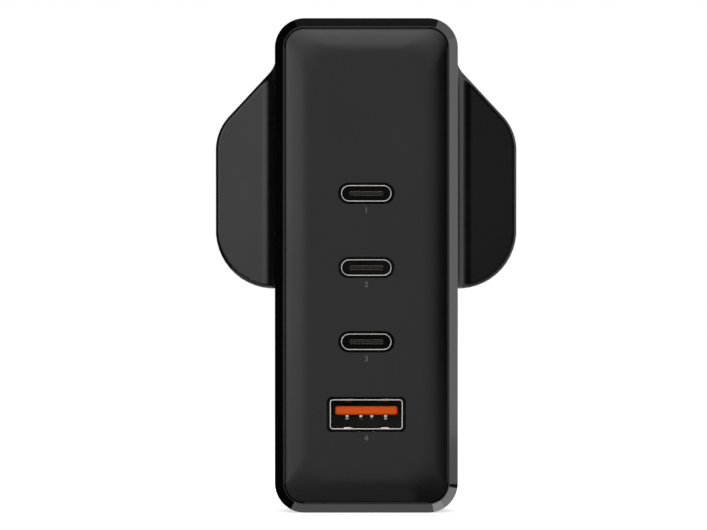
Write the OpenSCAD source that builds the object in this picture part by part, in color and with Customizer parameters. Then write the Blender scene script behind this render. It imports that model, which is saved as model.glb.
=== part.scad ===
// Wall charger with a fixed three-pin mains plug and four charging ports.
// Millimetres. +X right, +Z up, the front looks along -Y. The origin lies on the
// plug's flat face, halfway between the live and neutral pins.

/* [Body] */
// Width of the body
body_width = 33.3; // [31:0.1:40]
// Height of the body
body_height = 90; // [88:0.5:110]
// Depth of the body, from the crest of the front panel to its back
body_depth = 39; // [38:0.5:50]
// Radius of the body's four long edges
corner_radius = 5.4; // [4:0.1:8]
// Thickness of the moulded walls
wall = 2.2; // [1.8:0.1:2.6]
// Depth of the rebate that takes the frame's tongue
rebate_depth = 2.2; // [1.5:0.1:3]
// Bevel round the lower back edge
back_bevel = 1; // [0.4:0.1:1.6]

/* [Front] */
// Width of the bevel round the glossy frame
frame_bevel = 1.55; // [1:0.05:2]
// Width of the flat lip inside the bevel
frame_lip = 0.15; // [0.1:0.05:0.4]
// Depth of the frame's visible side
frame_depth = 3.6; // [3.2:0.1:6]
// Width of the ledge that carries the panel
frame_ledge = 0.8; // [0.5:0.1:1.2]
// Set-back of the frame's lip behind the crest of the panel
frame_set_back = 0.4; // [0.1:0.05:0.7]
// Groove between frame and panel
panel_groove = 0.2; // [0.1:0.05:0.4]
// Thickness of the panel at its rim
panel_rim = 2; // [1.5:0.1:2.4]
// Rise of the panel's crest above its rim
crown_rise = 0.9; // [0.5:0.05:1.3]
// Width of the rounded margin of the panel
crown_width = 4.6; // [3:0.1:6]
// Radius of the posts behind the panel that hold the port board
post_radius = 1.1; // [0.8:0.1:1.3]

/* [Plug] */
// Width of the plug across its wings
plug_width = 55.8; // [52:0.1:60]
// Distance from the pin line up to the top of the body
pins_to_top = 35.8; // [35:0.1:40]
// Distance from the pin line down to the plug's lower edge
pins_to_plug_bottom = 13.5; // [13:0.1:16]
// Height of the shoulders above the pin line
shoulder_rise = 15.8; // [14:0.1:17]
// Height above the pin line where the slanted edges meet the body
neck_rise = 27.8; // [26:0.1:29]
// Step from the body's back to the plug's face
plug_step = 7; // [5:0.1:9]
// Thickness of the wings at their rim
rim_thickness = 6.2; // [4:0.1:8]
// Thickness of the flat plate at the plug's face
face_plate = 1.5; // [1:0.1:2]
// Slope of the wings' front faces in degrees
wing_slope = 12; // [4:1:16]
// Radius of the hollow blend from wing to body
wing_blend = 3.1; // [2:0.1:4]
// Radius of the plug's lower corners
lower_corner = 10.8; // [6:0.1:11]
// Radius of the plug's shoulders
upper_corner = 9.3; // [5:0.1:12]
// Radius of the hollow corner at the neck
neck_radius = 4.7; // [3:0.1:6]
// Radius of the wings' front edge
wing_edge = 0.5; // [0.4:0.1:2]
// Step at the parting line between the face plate and the wings
parting_step = 0.05; // [0.03:0.01:0.1]

/* [Pins] */
// Distance between the live and neutral pins
pin_spacing = 22.23; // [22.1:0.01:22.4]
// Height of the earth pin above the other two
earth_rise = 22.23; // [22.1:0.01:22.4]
// Width of a live or neutral pin
pin_width = 6.35; // [6.2:0.01:6.5]
// Height of a live or neutral pin
pin_height = 4; // [3.9:0.01:4.1]
// Length of a live or neutral pin
pin_length = 17.7; // [17:0.1:18.2]
// Width of the earth pin
earth_width = 4; // [3.9:0.01:4.1]
// Height of the earth pin
earth_height = 8; // [7.8:0.01:8.1]
// Length of the earth pin
earth_length = 22.7; // [22:0.1:23.2]
// Length of the insulating sleeves
sleeve_length = 9.5; // [8:0.1:10]
// Wall of the insulating sleeves
sleeve_wall = 0.6; // [0.4:0.05:0.8]
// Depth to which sleeves and earth pin are sunk in the plug's face
pin_socket = 1; // [0.5:0.1:3]
// Length of the tapered pin tips
pin_tip = 1.6; // [0.8:0.1:2.5]
// Inset of the tapered pin tips
tip_inset = 0.8; // [0.4:0.1:1.2]
// Width of the pin's tail inside
tail_width = 3; // [2:0.1:4]
// Thickness of the pin's tail inside
tail_thickness = 1.2; // [0.8:0.1:1.6]
// Length of the tail in front of the main board
tail_reach = 4; // [3:0.1:6]
// Length of the anchor that holds the earth pin
earth_anchor = 4; // [2:0.1:6]

/* [Ports] */
// Distance from the top of the body to the first port
first_port_drop = 31.9; // [28:0.1:34]
// Distance between the small ports
port_pitch = 13.5; // [12:0.1:15]
// Distance from the last small port to the large port
large_port_pitch = 13.2; // [12:0.1:14]
// Width of a small receptacle
small_width = 9.2; // [8.9:0.05:9.6]
// Height of a small receptacle
small_height = 3.0; // [2.9:0.05:3.4]
// Thickness of a small receptacle's steel
small_steel = 0.18; // [0.15:0.01:0.3]
// Width of a small receptacle's tongue
small_tongue_width = 6.7; // [6.3:0.05:7]
// Thickness of a small receptacle's tongue
small_tongue_thickness = 0.7; // [0.6:0.05:0.8]
// Width of the large receptacle
large_width = 13.3; // [13:0.05:14]
// Height of the large receptacle
large_height = 5.5; // [5.4:0.05:6]
// Thickness of the large receptacle's steel
large_steel = 0.22; // [0.2:0.01:0.4]
// Width of the large receptacle's tongue
large_tongue_width = 11.4; // [10.8:0.05:11.8]
// Thickness of the large receptacle's tongue
large_tongue_thickness = 1.7; // [1.6:0.05:2]
// Height of the large tongue above the middle of its receptacle
large_tongue_lift = 0.75; // [0.5:0.05:0.8]
// Gap between receptacle and panel at the sides
port_side_gap = 0.55; // [0.3:0.05:0.7]
// Gap between receptacle and panel above and below
port_gap = 0.45; // [0.3:0.05:0.6]
// Set-back of the receptacle rims behind the panel
rim_set_back = 0.5; // [0.2:0.1:1]
// Length of the receptacles in front of the port board
port_length = 10.5; // [9:0.1:12]
// Set-back of the tongues behind the rims
tongue_set_back = 1; // [0.6:0.1:2]
// Depth of the moulded block that carries a tongue
port_block = 3.5; // [2.5:0.1:4.5]
// Number of contacts on each side of a small tongue
small_contacts = 12; // [8:1:12]
// Distance between contacts on a small tongue
contact_pitch = 0.5; // [0.4:0.05:0.55]

/* [Boards] */
// Thickness of the circuit boards
board_thickness = 1.6; // [1:0.1:2]
// Space behind the main board
main_board_standoff = 2.2; // [1.6:0.1:3]
// Clearance between the boards and the side walls
board_clearance = 0.75; // [0.4:0.05:1]
// Clearance between the boards and the end walls
board_end_clearance = 2.4; // [2:0.1:4]
// Width of the ledges that carry the boards
board_ledge = 1.35; // [1.2:0.05:1.6]
// Thickness of the ledges behind the port board
port_ledge = 2; // [1:0.1:3]
// Height of the ribs inside the end walls
rib_height = 1.2; // [0.6:0.1:1.6]
// Thickness of the ribs inside the end walls
rib_thickness = 1; // [0.8:0.1:1.4]
// Thickness of the insulating film
film_thickness = 0.4; // [0.2:0.05:0.6]
// Thickness of the heat spreaders
spreader_thickness = 0.8; // [0.5:0.1:1]
// Space above and below the heat spreaders
spreader_margin = 8.4; // [4:0.1:14]
// Clearance round leads that pass through a board
lead_clearance = 0.2; // [0.1:0.05:0.3]

/* [Parts on the boards] */
// Diameter of a storage capacitor
bulk_diameter = 10; // [8:0.1:10.2]
// Height of a storage capacitor
bulk_height = 17; // [12:0.5:17]
// Gap between storage capacitors
bulk_gap = 0.5; // [0.3:0.1:0.8]
// Outer diameter of the choke's core
choke_diameter = 12.4; // [10:0.1:13]
// Inner diameter of the choke's core
choke_bore = 6.4; // [6:0.1:7]
// Thickness of the choke's core
choke_thickness = 6; // [4:0.1:8]
// Diameter of the choke's wire
choke_wire = 0.7; // [0.5:0.05:0.8]
// Turns on each half of the choke
choke_turns = 7; // [3:1:7]
// Width of the transformer's core
core_width = 23; // [21:0.1:24]
// Depth of the transformer's core
core_depth = 12; // [10:0.1:13]
// Thickness of the core's yokes
core_yoke = 4; // [3:0.1:5]
// Thickness of the core's outer legs
core_leg = 3.4; // [2.5:0.1:4]
// Diameter of the core's middle leg
core_post = 8.6; // [7:0.1:9]
// Thickness of the bobbin's moulding
bobbin_wall = 0.8; // [0.6:0.1:1]
// Diameter of an output capacitor
output_diameter = 8; // [6:0.1:9]
// Height of an output capacitor
output_height = 11; // [8:0.5:15]
// Gap between neighbouring parts of the main board
part_gap = 0.4; // [0.3:0.05:0.6]

/* [Hidden] */
$fn = 48;
eps = 0.01;

// Levels along Z
top_z = pins_to_top;
base_z = top_z - body_height;
middle_z = (top_z + base_z) / 2;
plug_bottom_z = -pins_to_plug_bottom;

// Levels along Y, from the plug's face forwards
back_y = -plug_step;
front_y = back_y - body_depth;
cavity_back_y = back_y - wall;
frame_y = front_y + frame_set_back;
parting_y = frame_y + frame_depth;
panel_rim_y = front_y + crown_rise;
panel_back_y = panel_rim_y + panel_rim;
rim_y = front_y + rim_set_back;
port_board_y = rim_y + port_length;
port_board_back_y = port_board_y + board_thickness;
main_board_back_y = cavity_back_y - main_board_standoff;
main_board_y = main_board_back_y - board_thickness;

// Widths and heights inside the body
cavity_width = body_width - 2 * wall;
cavity_height = body_height - 2 * wall;
cavity_radius = corner_radius - wall;
frame_opening = frame_bevel + frame_lip;
panel_inset = frame_opening + panel_groove;
panel_radius = corner_radius - panel_inset;
board_width = cavity_width - 2 * board_clearance;
board_height = cavity_height - 2 * board_end_clearance;
board_radius = 1;
tongue_clearance = 0.1;
tongue_side = wall / 2;

port_z = [for (i = [0:2]) top_z - first_port_drop - i * port_pitch];
large_port_z = port_z[2] - large_port_pitch;

post_x = board_width / 2 - 2 * post_radius;
post_levels = [middle_z + board_height / 2 - 4, port_z[0] - port_pitch / 2, middle_z - board_height / 2 + 4];

// Shared two-dimensional shapes
module rounded_rect(w, h, r) {
    square([w - 2 * r, h], center = true);
    square([w, h - 2 * r], center = true);
    for (x = [-1, 1], y = [-1, 1])
        translate([x * (w / 2 - r), y * (h / 2 - r)]) circle(r);
}

module stadium(w, h) {
    square([w - h, h], center = true);
    for (x = [-1, 1]) translate([x * (w - h) / 2, 0]) circle(d = h);
}

// Extrudes a shape drawn in X and Z from the plane y towards the front
module forwards(y, length) {
    translate([0, y, 0]) rotate([90, 0, 0]) linear_extrude(length) children();
}

// A box given by its middle in X and Z, its back plane and its depth forwards
module block(x, z, y, size) {
    translate([x - size.x / 2, y - size.y, z - size.z / 2]) cube(size);
}

// The body's rounded outline, drawn inwards by an inset
module body_outline(inset) {
    translate([0, middle_z])
        rounded_rect(body_width - 2 * inset, body_height - 2 * inset, corner_radius - inset);
}

// The body's outline with a bevelled end towards the front or the back
module bevelled_end(y, bevel, way) {
    w = body_width;
    h = body_height;
    r = corner_radius;
    translate([0, y, middle_z]) rotate([way > 0 ? -90 : 90, 0, 0]) {
        rotate([90, 0, 0]) translate([0, 0, r - h / 2]) linear_extrude(h - 2 * r)
            polygon([[-w / 2, 0], [w / 2, 0], [w / 2 - bevel, bevel], [bevel - w / 2, bevel]]);
        rotate([90, 0, 90]) translate([0, 0, r - w / 2]) linear_extrude(w - 2 * r)
            polygon([[-h / 2, 0], [h / 2, 0], [h / 2 - bevel, bevel], [bevel - h / 2, bevel]]);
        for (x = [-1, 1], z = [-1, 1])
            translate([x * (w / 2 - r), z * (h / 2 - r), 0]) cylinder(r1 = r, r2 = r - bevel, h = bevel);
    }
}

// The wings are lofted: a chain of points follows the edge of one wing, and rings
// of that chain run over its rounded edge and along its slope to the body's wall.
wing_tip_x = plug_width / 2;
body_side_x = body_width / 2;
wing_root_x = body_side_x - wall / 2;
slant = atan((wing_tip_x - body_side_x) / (neck_rise - shoulder_rise));
edge_steps = 4;
blend_steps = 6;
corner_steps = 12;
shoulder_steps = 8;
neck_steps = 6;
blend_end_x = body_side_x + wing_blend * (1 - sin(wing_slope));

function left_of(a) = [-a.y, a.x];
function spun(v, t) = [v.x * cos(t) - v.y * sin(t), v.x * sin(t) + v.y * cos(t)];
function flat_thickness(x) = rim_thickness + (wing_tip_x - x) * tan(wing_slope);

// Points round a corner v, reached along the direction a and left after a turn
function corner_arc(v, a, turn, r, steps) =
    let (
        side = sign(turn) * r * left_of(a),
        middle = v - a * r * tan(abs(turn) / 2) + side
    )
    [for (i = [0.5:steps]) middle + spun(-side, turn * i / steps)];

// Thickness of the plug at x, with the hollow blend up to the body's side
function wing_thickness(x) =
    let (
        middle_x = body_side_x + wing_blend,
        middle_t = flat_thickness(blend_end_x) + wing_blend * cos(wing_slope),
        reach = middle_x - max(x, body_side_x)
    )
    x > blend_end_x
        ? flat_thickness(x)
        : middle_t - sqrt(max(0, pow(wing_blend, 2) - pow(reach, 2)));

// Edge of the right wing, drawn inwards by an inset, from its lower to its upper root
function wing_chain(inset) =
    let (
        low = plug_bottom_z + inset,
        tip = wing_tip_x - inset,
        low_r = min(lower_corner, wing_tip_x - body_side_x - 0.3) - inset,
        shoulder = [tip, shoulder_rise - inset * tan(slant / 2)],
        run = (tip - body_side_x) / sin(slant),
        neck = shoulder + run * [-sin(slant), cos(slant)],
        neck_points = corner_arc(neck, [-sin(slant), cos(slant)], -slant, neck_radius + inset, neck_steps)
    )
    concat(
        [[wing_root_x, low]],
        corner_arc([tip, low], [1, 0], 90, low_r, corner_steps),
        corner_arc(shoulder, [0, 1], slant, upper_corner - inset, shoulder_steps),
        neck_points,
        [[wing_root_x, neck_points[neck_steps - 1].y + 1]]
    );

chain_length = corner_steps + shoulder_steps + neck_steps + 2;

// Places across the wing at which its slope and its blend are drawn, from tip to root
slope_stops = concat(
    [(wing_tip_x + blend_end_x) / 2],
    [for (i = [blend_steps:-1:1]) body_side_x + wing_blend * (1 - cos((90 - wing_slope) * i / blend_steps))],
    [body_side_x - parting_step, wing_root_x]
);
slope_edge = wing_chain(parting_step + wing_edge);

wing_rings = concat(
    [[for (p = wing_chain(parting_step)) [p.x, -face_plate / 2, p.y]]],
    [for (k = [0:edge_steps])
        let (turn = 90 * k / edge_steps, inset = wing_edge * (1 - cos(turn)))
        [for (p = wing_chain(parting_step + inset))
            [p.x, wing_edge * (1 - sin(turn)) - wing_thickness(p.x), p.y]]],
    [for (x = slope_stops) [for (p = slope_edge) [x, -wing_thickness(x), p.y]]]
);

// Index of a ring's point. A stop that lies beyond the rounded edge ends at that edge.
function ring_point(k, i) =
    let (
        rounded = edge_steps + 1,
        beyond = k > rounded && slope_stops[k - rounded - 1] >= slope_edge[i].x
    )
    (beyond ? rounded : k) * chain_length + i;

module wing() {
    last = len(wing_rings) - 1;
    strips = [
        for (k = [0:last - 1], i = [0:chain_length - 2])
            let (
                a = ring_point(k, i),
                b = ring_point(k, i + 1),
                c = ring_point(k + 1, i + 1),
                d = ring_point(k + 1, i)
            )
            each [[a, c, b], [a, d, c]]
    ];
    back = [for (i = [0:chain_length - 1]) i];
    root = concat(
        [for (k = [0:edge_steps + 1]) ring_point(k, chain_length - 1)],
        [for (i = [chain_length - 2:-1:1]) ring_point(last, i)],
        [for (k = [edge_steps + 1:-1:0]) ring_point(k, 0)]
    );
    polyhedron(
        points = [for (ring = wing_rings) each ring],
        faces = concat([for (f = strips) if (f[0] != f[1] && f[1] != f[2] && f[2] != f[0]) f], [back, root])
    );
}

// Outline of the plug's face across both wings
module plug_face() {
    edge = wing_chain(0);
    polygon(concat(edge, [for (i = [chain_length - 1:-1:0]) [-edge[i].x, edge[i].y]]));
}

// Catches on the frame's tongue, and with a slack the pockets that they snap into
catch_rise = 0.25;
catch_depth = 0.6;
catch_length = 7;

module catches(slack) {
    reach = catch_rise + slack;
    for (side = [-1, 1], share = [-0.3, 0, 0.3])
        block(side * (body_side_x - tongue_side - tongue_clearance), middle_z + share * body_height,
            parting_y + (rebate_depth + catch_depth) / 2 + slack,
            [2 * reach, catch_depth + 2 * slack, catch_length + 2 * slack]);
}

// Stiffening ribs along the inside of the top and bottom walls
module end_ribs() {
    length = cavity_back_y - port_board_back_y - port_ledge;
    for (way = [-1, 1], share = [-0.3, 0, 0.3])
        block(share * cavity_width, middle_z + way * cavity_height / 2, cavity_back_y,
            [rib_thickness, length, 2 * rib_height]);
}

module housing() {
    ledge_x = cavity_width / 2 - board_ledge;
    color([0.1, 0.1, 0.1]) difference() {
        union() {
            bevelled_end(back_y - back_bevel, back_bevel, 1);
            forwards(back_y - back_bevel, back_y - back_bevel - parting_y) body_outline(0);
            forwards(0, plug_step + back_bevel) intersection() {
                body_outline(0);
                translate([-body_width, plug_bottom_z]) square([2 * body_width, top_z - plug_bottom_z]);
            }
            forwards(0, face_plate) plug_face();
            wing();
            mirror([1, 0, 0]) wing();
        }
        difference() {
            forwards(cavity_back_y, cavity_back_y - parting_y + eps) body_outline(wall);
            end_ribs();
            for (side = [-1, 1]) {
                block(side * (ledge_x + board_ledge), middle_z, cavity_back_y,
                    [2 * board_ledge, main_board_standoff, board_height - 2 * board_radius]);
                block(side * (ledge_x + board_ledge), middle_z, port_board_back_y + port_ledge,
                    [2 * board_ledge, port_ledge, board_height - 2 * board_radius]);
            }
        }
        forwards(parting_y + rebate_depth, rebate_depth + eps) body_outline(tongue_side);
        catches(tongue_clearance);
        for (side = [-1, 1]) {
            block(side * pin_spacing / 2, 0, eps, [pin_width, pin_socket + eps, pin_height]);
            block(side * pin_spacing / 2, 0, 0, [neck_width, plug_step, neck_height]);
            block(side * pin_spacing / 2, 0, 0, [tail_width, plug_step + wall + eps, tail_thickness]);
        }
        block(0, earth_rise, eps, [earth_width, pin_socket + earth_anchor + eps, earth_height]);
    }
}

module bezel_frame() {
    color([0.04, 0.04, 0.04]) difference() {
        union() {
            bevelled_end(frame_y + frame_bevel, frame_bevel, -1);
            forwards(parting_y, frame_depth - frame_bevel) body_outline(0);
            forwards(parting_y + rebate_depth - tongue_clearance, rebate_depth)
                body_outline(tongue_side + tongue_clearance);
            catches(0);
        }
        forwards(panel_back_y, panel_back_y - frame_y + eps) body_outline(frame_opening);
        forwards(parting_y + rebate_depth, rebate_depth) body_outline(wall);
        forwards(parting_y, parting_y - panel_back_y + eps) body_outline(frame_opening + frame_ledge);
    }
}

// Rounded loop of points for the panel, drawn inwards by an inset at the level y
crown_corner = 6;
panel_steps = 8;
crown_steps = 7;

function panel_loop(inset, y) =
    let (
        r = panel_radius + (crown_corner - panel_radius) * inset / crown_width,
        x = body_width / 2 - panel_inset - inset - r,
        z = body_height / 2 - panel_inset - inset - r,
        middles = [[x, z], [-x, z], [-x, -z], [x, -z]]
    )
    [for (q = [0:3], i = [0:panel_steps])
        let (turn = 90 * (q + i / panel_steps))
        [middles[q].x + r * cos(turn), y, middle_z + middles[q].y + r * sin(turn)]];

module crowned_slab() {
    crown_radius = (pow(crown_width, 2) + pow(crown_rise, 2)) / (2 * crown_rise);
    loops = concat(
        [panel_loop(0, panel_back_y)],
        [for (k = [0:crown_steps])
            let (inset = crown_width * k / crown_steps)
            let (drop = crown_radius - sqrt(pow(crown_radius, 2) - pow(crown_width - inset, 2)))
            panel_loop(inset, front_y + drop)]
    );
    n = len(loops[0]);
    last = len(loops) - 1;
    polyhedron(
        points = [for (loop = loops) each loop],
        faces = concat(
            [[for (i = [0:n - 1]) i]],
            [for (k = [0:last - 1], i = [0:n - 1])
                let (j = (i + 1) % n)
                let (a = k * n + i, b = a + n, c = (k + 1) * n + j, d = k * n + j)
                each [[a, b, c], [a, c, d]]],
            [[for (i = [n - 1:-1:0]) last * n + i]]
        )
    );
}

module front_panel() {
    depth = panel_back_y - front_y + 2 * eps;
    color([0.19, 0.19, 0.19]) {
        difference() {
            crowned_slab();
            for (z = port_z) forwards(panel_back_y + eps, depth) translate([0, z])
                stadium(small_width + 2 * port_side_gap, small_height + 2 * port_gap);
            forwards(panel_back_y + eps, depth) translate([0, large_port_z])
                rounded_rect(large_width + 2 * port_side_gap, large_height + 2 * port_gap, 0.9);
        }
        for (side = [-1, 1], z = post_levels)
            forwards(port_board_y, port_board_y - panel_back_y)
                translate([side * post_x, z]) circle(post_radius);
    }
}

// Pins of the plug
neck_width = pin_width - 2 * sleeve_wall;
neck_height = pin_height - 2 * sleeve_wall;
tail_end_y = main_board_y - tail_reach;

// A straight blade along +Y with a tapered end
module blade(w, h, y0, y1) {
    intersection() {
        translate([0, 0, -h / 2]) linear_extrude(h)
            polygon([[-w / 2, y0], [w / 2, y0], [w / 2, y1 - pin_tip], [w / 2 - tip_inset, y1],
                [tip_inset - w / 2, y1], [-w / 2, y1 - pin_tip]]);
        rotate([90, 0, 90]) translate([0, 0, -w / 2]) linear_extrude(w)
            polygon([[y0, -h / 2], [y1 - pin_tip, -h / 2], [y1, tip_inset - h / 2],
                [y1, h / 2 - tip_inset], [y1 - pin_tip, h / 2], [y0, h / 2]]);
    }
}

module power_pin(side) {
    translate([side * pin_spacing / 2, 0, 0]) {
        blade(pin_width, pin_height, sleeve_length, pin_length);
        block(0, 0, sleeve_length, [neck_width, sleeve_length + plug_step, neck_height]);
        block(0, 0, -plug_step, [tail_width, -tail_end_y - plug_step, tail_thickness]);
    }
}

module pin_sleeve(side) {
    translate([side * pin_spacing / 2, 0, 0]) difference() {
        block(0, 0, sleeve_length, [pin_width, sleeve_length + pin_socket, pin_height]);
        block(0, 0, sleeve_length + eps, [neck_width, sleeve_length + pin_socket + 2 * eps, neck_height]);
    }
}

module earth_pin()
    color([0.08, 0.08, 0.08]) translate([0, 0, earth_rise])
        blade(earth_width, earth_height, -pin_socket - earth_anchor, earth_length);

module live_pin() color([0.85, 0.7, 0.4]) power_pin(1);
module neutral_pin() color([0.85, 0.7, 0.4]) power_pin(-1);
module live_pin_sleeve() color([0.08, 0.08, 0.08]) pin_sleeve(1);
module neutral_pin_sleeve() color([0.08, 0.08, 0.08]) pin_sleeve(-1);

// Sprung clip that stands on the main board and grips a pin's tail
clip_leaf = 0.4;
clip_width = 3.4;
clip_foot = 1.6;

module pin_clip(side) {
    color([0.8, 0.6, 0.35]) translate([side * pin_spacing / 2, 0, 0])
        for (way = [-1, 1]) {
            block(0, way * (tail_thickness + clip_leaf) / 2, main_board_y,
                [clip_width, tail_reach, clip_leaf]);
            block(0, way * (tail_thickness / 2 + clip_leaf + clip_foot / 2), main_board_y,
                [clip_width, clip_leaf, clip_foot]);
        }
}

module live_clip() pin_clip(1);
module neutral_clip() pin_clip(-1);

// Small ports: a drawn steel shell, a moulded tongue and its contacts
small_legs = [-2.6, 2.6];
leg_width = 1.2;
leg_reach = 0.5;
block_clearance = 0.05;
small_front_y = rim_y + tongue_set_back;
block_front_y = port_board_y - port_block;

module small_shell(z) {
    inner_width = small_width - 2 * small_steel;
    inner_height = small_height - 2 * small_steel;
    color([0.75, 0.75, 0.75]) {
        forwards(port_board_y, port_length) translate([0, z]) difference() {
            stadium(small_width, small_height);
            stadium(inner_width, inner_height);
        }
        for (x = small_legs, way = [-1, 1])
            block(x, z + way * (small_height - small_steel) / 2, port_board_back_y + leg_reach,
                [leg_width, board_thickness + leg_reach, small_steel]);
    }
}

module small_tongue(z) {
    room = small_steel + block_clearance;
    color([0.12, 0.12, 0.12]) {
        forwards(port_board_y, port_block) translate([0, z])
            stadium(small_width - 2 * room, small_height - 2 * room);
        block(0, z, block_front_y,
            [small_tongue_width, block_front_y - small_front_y, small_tongue_thickness]);
    }
}

module small_contact_rows(z) {
    strip = [contact_pitch / 2, block_front_y - small_front_y - 0.3, 0.1];
    color([0.6, 0.55, 0.45]) for (i = [0:small_contacts - 1], way = [-1, 1])
        block((i - (small_contacts - 1) / 2) * contact_pitch,
            z + way * (small_tongue_thickness + strip.z) / 2, block_front_y, strip);
}

module top_port_shell() small_shell(port_z[0]);
module top_port_tongue() small_tongue(port_z[0]);
module top_port_contacts() small_contact_rows(port_z[0]);
module middle_port_shell() small_shell(port_z[1]);
module middle_port_tongue() small_tongue(port_z[1]);
module middle_port_contacts() small_contact_rows(port_z[1]);
module lower_port_shell() small_shell(port_z[2]);
module lower_port_tongue() small_tongue(port_z[2]);
module lower_port_contacts() small_contact_rows(port_z[2]);

// Large port: a folded steel shell with four spring fingers, an orange tongue and
// four sprung contacts under it
finger_x = 3.4;
finger_width = 1.3;
finger_length = 5;
finger_rise = 0.55;
finger_steel = 0.2;
large_corner = 0.6;
window_margin = 0.3;
large_front_y = rim_y + tongue_set_back;
large_tongue_z = large_port_z + large_tongue_lift;

module large_window(way)
    for (side = [-1, 1])
        block(side * finger_x, large_port_z + way * (large_height - large_steel) / 2,
            rim_y + finger_length + 2,
            [finger_width + 2 * window_margin, finger_length, large_steel + 0.2]);

// A finger bends from the wall into the opening and back out at its tip
module large_finger(way) {
    root = rim_y + finger_length + 2.2;
    wall_z = large_height / 2 - large_steel;
    bend = [[0, 0], [0.6 * finger_length, finger_rise], [0.85 * finger_length, finger_rise],
        [finger_length, 0.1]];
    path = concat(
        [for (p = bend) [root - p.x, -wall_z + p.y - finger_steel]],
        [for (i = [len(bend) - 1:-1:0]) [root - bend[i].x, -wall_z + bend[i].y]]
    );
    for (side = [-1, 1])
        translate([side * finger_x - finger_width / 2, 0, large_port_z])
            mirror([0, 0, way > 0 ? 1 : 0]) rotate([90, 0, 90]) linear_extrude(finger_width) polygon(path);
}

module large_port_shell() {
    inner_width = large_width - 2 * large_steel;
    inner_height = large_height - 2 * large_steel;
    color([0.78, 0.78, 0.78]) {
        difference() {
            forwards(port_board_y, port_length) translate([0, large_port_z]) difference() {
                rounded_rect(large_width, large_height, large_corner);
                rounded_rect(inner_width, inner_height, large_corner - large_steel);
            }
            large_window(-1);
            large_window(1);
        }
        large_finger(-1);
        large_finger(1);
        for (side = [-1, 1], z = [-1.2, 1.2])
            block(side * (large_width - large_steel) / 2, large_port_z + z, port_board_back_y + leg_reach,
                [large_steel, board_thickness + leg_reach, leg_width]);
    }
}

module large_port_tongue() {
    room = large_steel + block_clearance;
    color([0.8, 0.33, 0.1]) {
        forwards(port_board_y, port_block) translate([0, large_port_z])
            rounded_rect(large_width - 2 * room, large_height - 2 * room, large_corner - room);
        forwards(block_front_y, block_front_y - large_front_y) translate([0, large_tongue_z])
            rounded_rect(large_tongue_width, large_tongue_thickness, 0.25);
    }
}

module large_port_contacts() {
    under = large_tongue_z - large_tongue_thickness / 2;
    reach = block_front_y - large_front_y;
    hump = [[0, 0], [0.55 * reach, 0], [0.75 * reach, -0.75], [0.95 * reach, -0.15],
        [0.95 * reach, -0.35], [0.75 * reach, -0.95], [0.5 * reach, -0.2], [0, -0.2]];
    color([0.85, 0.8, 0.7]) for (x = [-3.5, -1, 1, 3.5])
        translate([x - 0.25, 0, under]) rotate([90, 0, 90]) linear_extrude(0.5)
            polygon([for (p = hump) [block_front_y - p.x, p.y]]);
}

// Circuit boards
board_top_z = middle_z + board_height / 2;
board_bottom_z = middle_z - board_height / 2;
link_pins = 4;
link_pitch = 2.54;
link_pin = 0.64;
chip_margin = 1.1;
chip_size = [5, 1.5, 3];
link_z = board_bottom_z + chip_margin + chip_size.z + part_gap + output_diameter / 2;
slot = 2 * lead_clearance;

module board(y) {
    forwards(y, board_thickness) translate([0, middle_z])
        rounded_rect(board_width, board_height, board_radius);
}

module link_positions()
    for (column = [-0.5, 0.5], row = [0:link_pins - 1])
        translate([column * link_pitch, 0, link_z + (row - (link_pins - 1) / 2) * link_pitch]) children();

module port_board() {
    depth = board_thickness + 2 * eps;
    color([0.05, 0.25, 0.15]) difference() {
        board(port_board_back_y);
        for (z = port_z, x = small_legs, way = [-1, 1])
            block(x, z + way * (small_height - small_steel) / 2, port_board_back_y + eps,
                [leg_width + slot, depth, small_steel + slot]);
        for (side = [-1, 1], z = [-1.2, 1.2])
            block(side * (large_width - large_steel) / 2, large_port_z + z, port_board_back_y + eps,
                [large_steel + slot, depth, leg_width + slot]);
        link_positions() block(0, 0, port_board_back_y + eps, [link_pin + slot, depth, link_pin + slot]);
    }
}

// The main board has a slot under the transformer that parts mains and output side
isolation_slot = 1.5;

module main_board() {
    depth = board_thickness + 2 * eps;
    color([0.05, 0.25, 0.15]) difference() {
        board(main_board_back_y);
        for (side = [-1, 1])
            block(side * pin_spacing / 2, 0, main_board_back_y + eps,
                [tail_width + slot, depth, tail_thickness + slot]);
        link_positions() block(0, 0, main_board_back_y + eps, [link_pin + slot, depth, link_pin + slot]);
        block(0, transformer_z, main_board_back_y + eps, [0.6 * board_width, depth, isolation_slot]);
    }
}

// Pin header that carries the output from the main board to the port board
module board_link() {
    collar = 2.5;
    start_y = main_board_back_y + 0.8;
    end_y = port_board_y + 0.4;
    color([0.12, 0.12, 0.12]) {
        block(0, link_z, main_board_y, [2 * link_pitch, collar, link_pins * link_pitch]);
        link_positions() block(0, 0, start_y, [link_pin, start_y - end_y, link_pin]);
    }
}

// Film that lies on the back wall between the ledges, pierced by the pins' tails
module insulation_film() {
    width = cavity_width - 2 * board_ledge - 2 * board_clearance;
    color([0.9, 0.85, 0.6]) difference() {
        block(0, middle_z, cavity_back_y, [width, film_thickness, board_height]);
        for (side = [-1, 1])
            block(side * pin_spacing / 2, 0, cavity_back_y + eps,
                [tail_width + slot, film_thickness + 2 * eps, tail_thickness + slot]);
    }
}

// Slotted aluminium plates along the side walls, between the clips and the port ledge
spreader_gap = 0.2;
spreader_slots = 5;
slot_height = 2;

module heat_spreader(side) {
    x = side * (cavity_width - spreader_thickness) / 2;
    start_y = main_board_y - tail_reach - spreader_gap;
    depth = start_y - port_board_back_y - port_ledge - spreader_gap;
    height = board_height - 2 * spreader_margin;
    color([0.7, 0.7, 0.72]) difference() {
        block(x, middle_z, start_y, [spreader_thickness, depth, height]);
        for (i = [0:spreader_slots - 1])
            block(x, middle_z + ((i + 0.5) / spreader_slots - 0.5) * height, start_y - depth / 4,
                [spreader_thickness + 2 * eps, depth / 2, slot_height]);
    }
}

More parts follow.
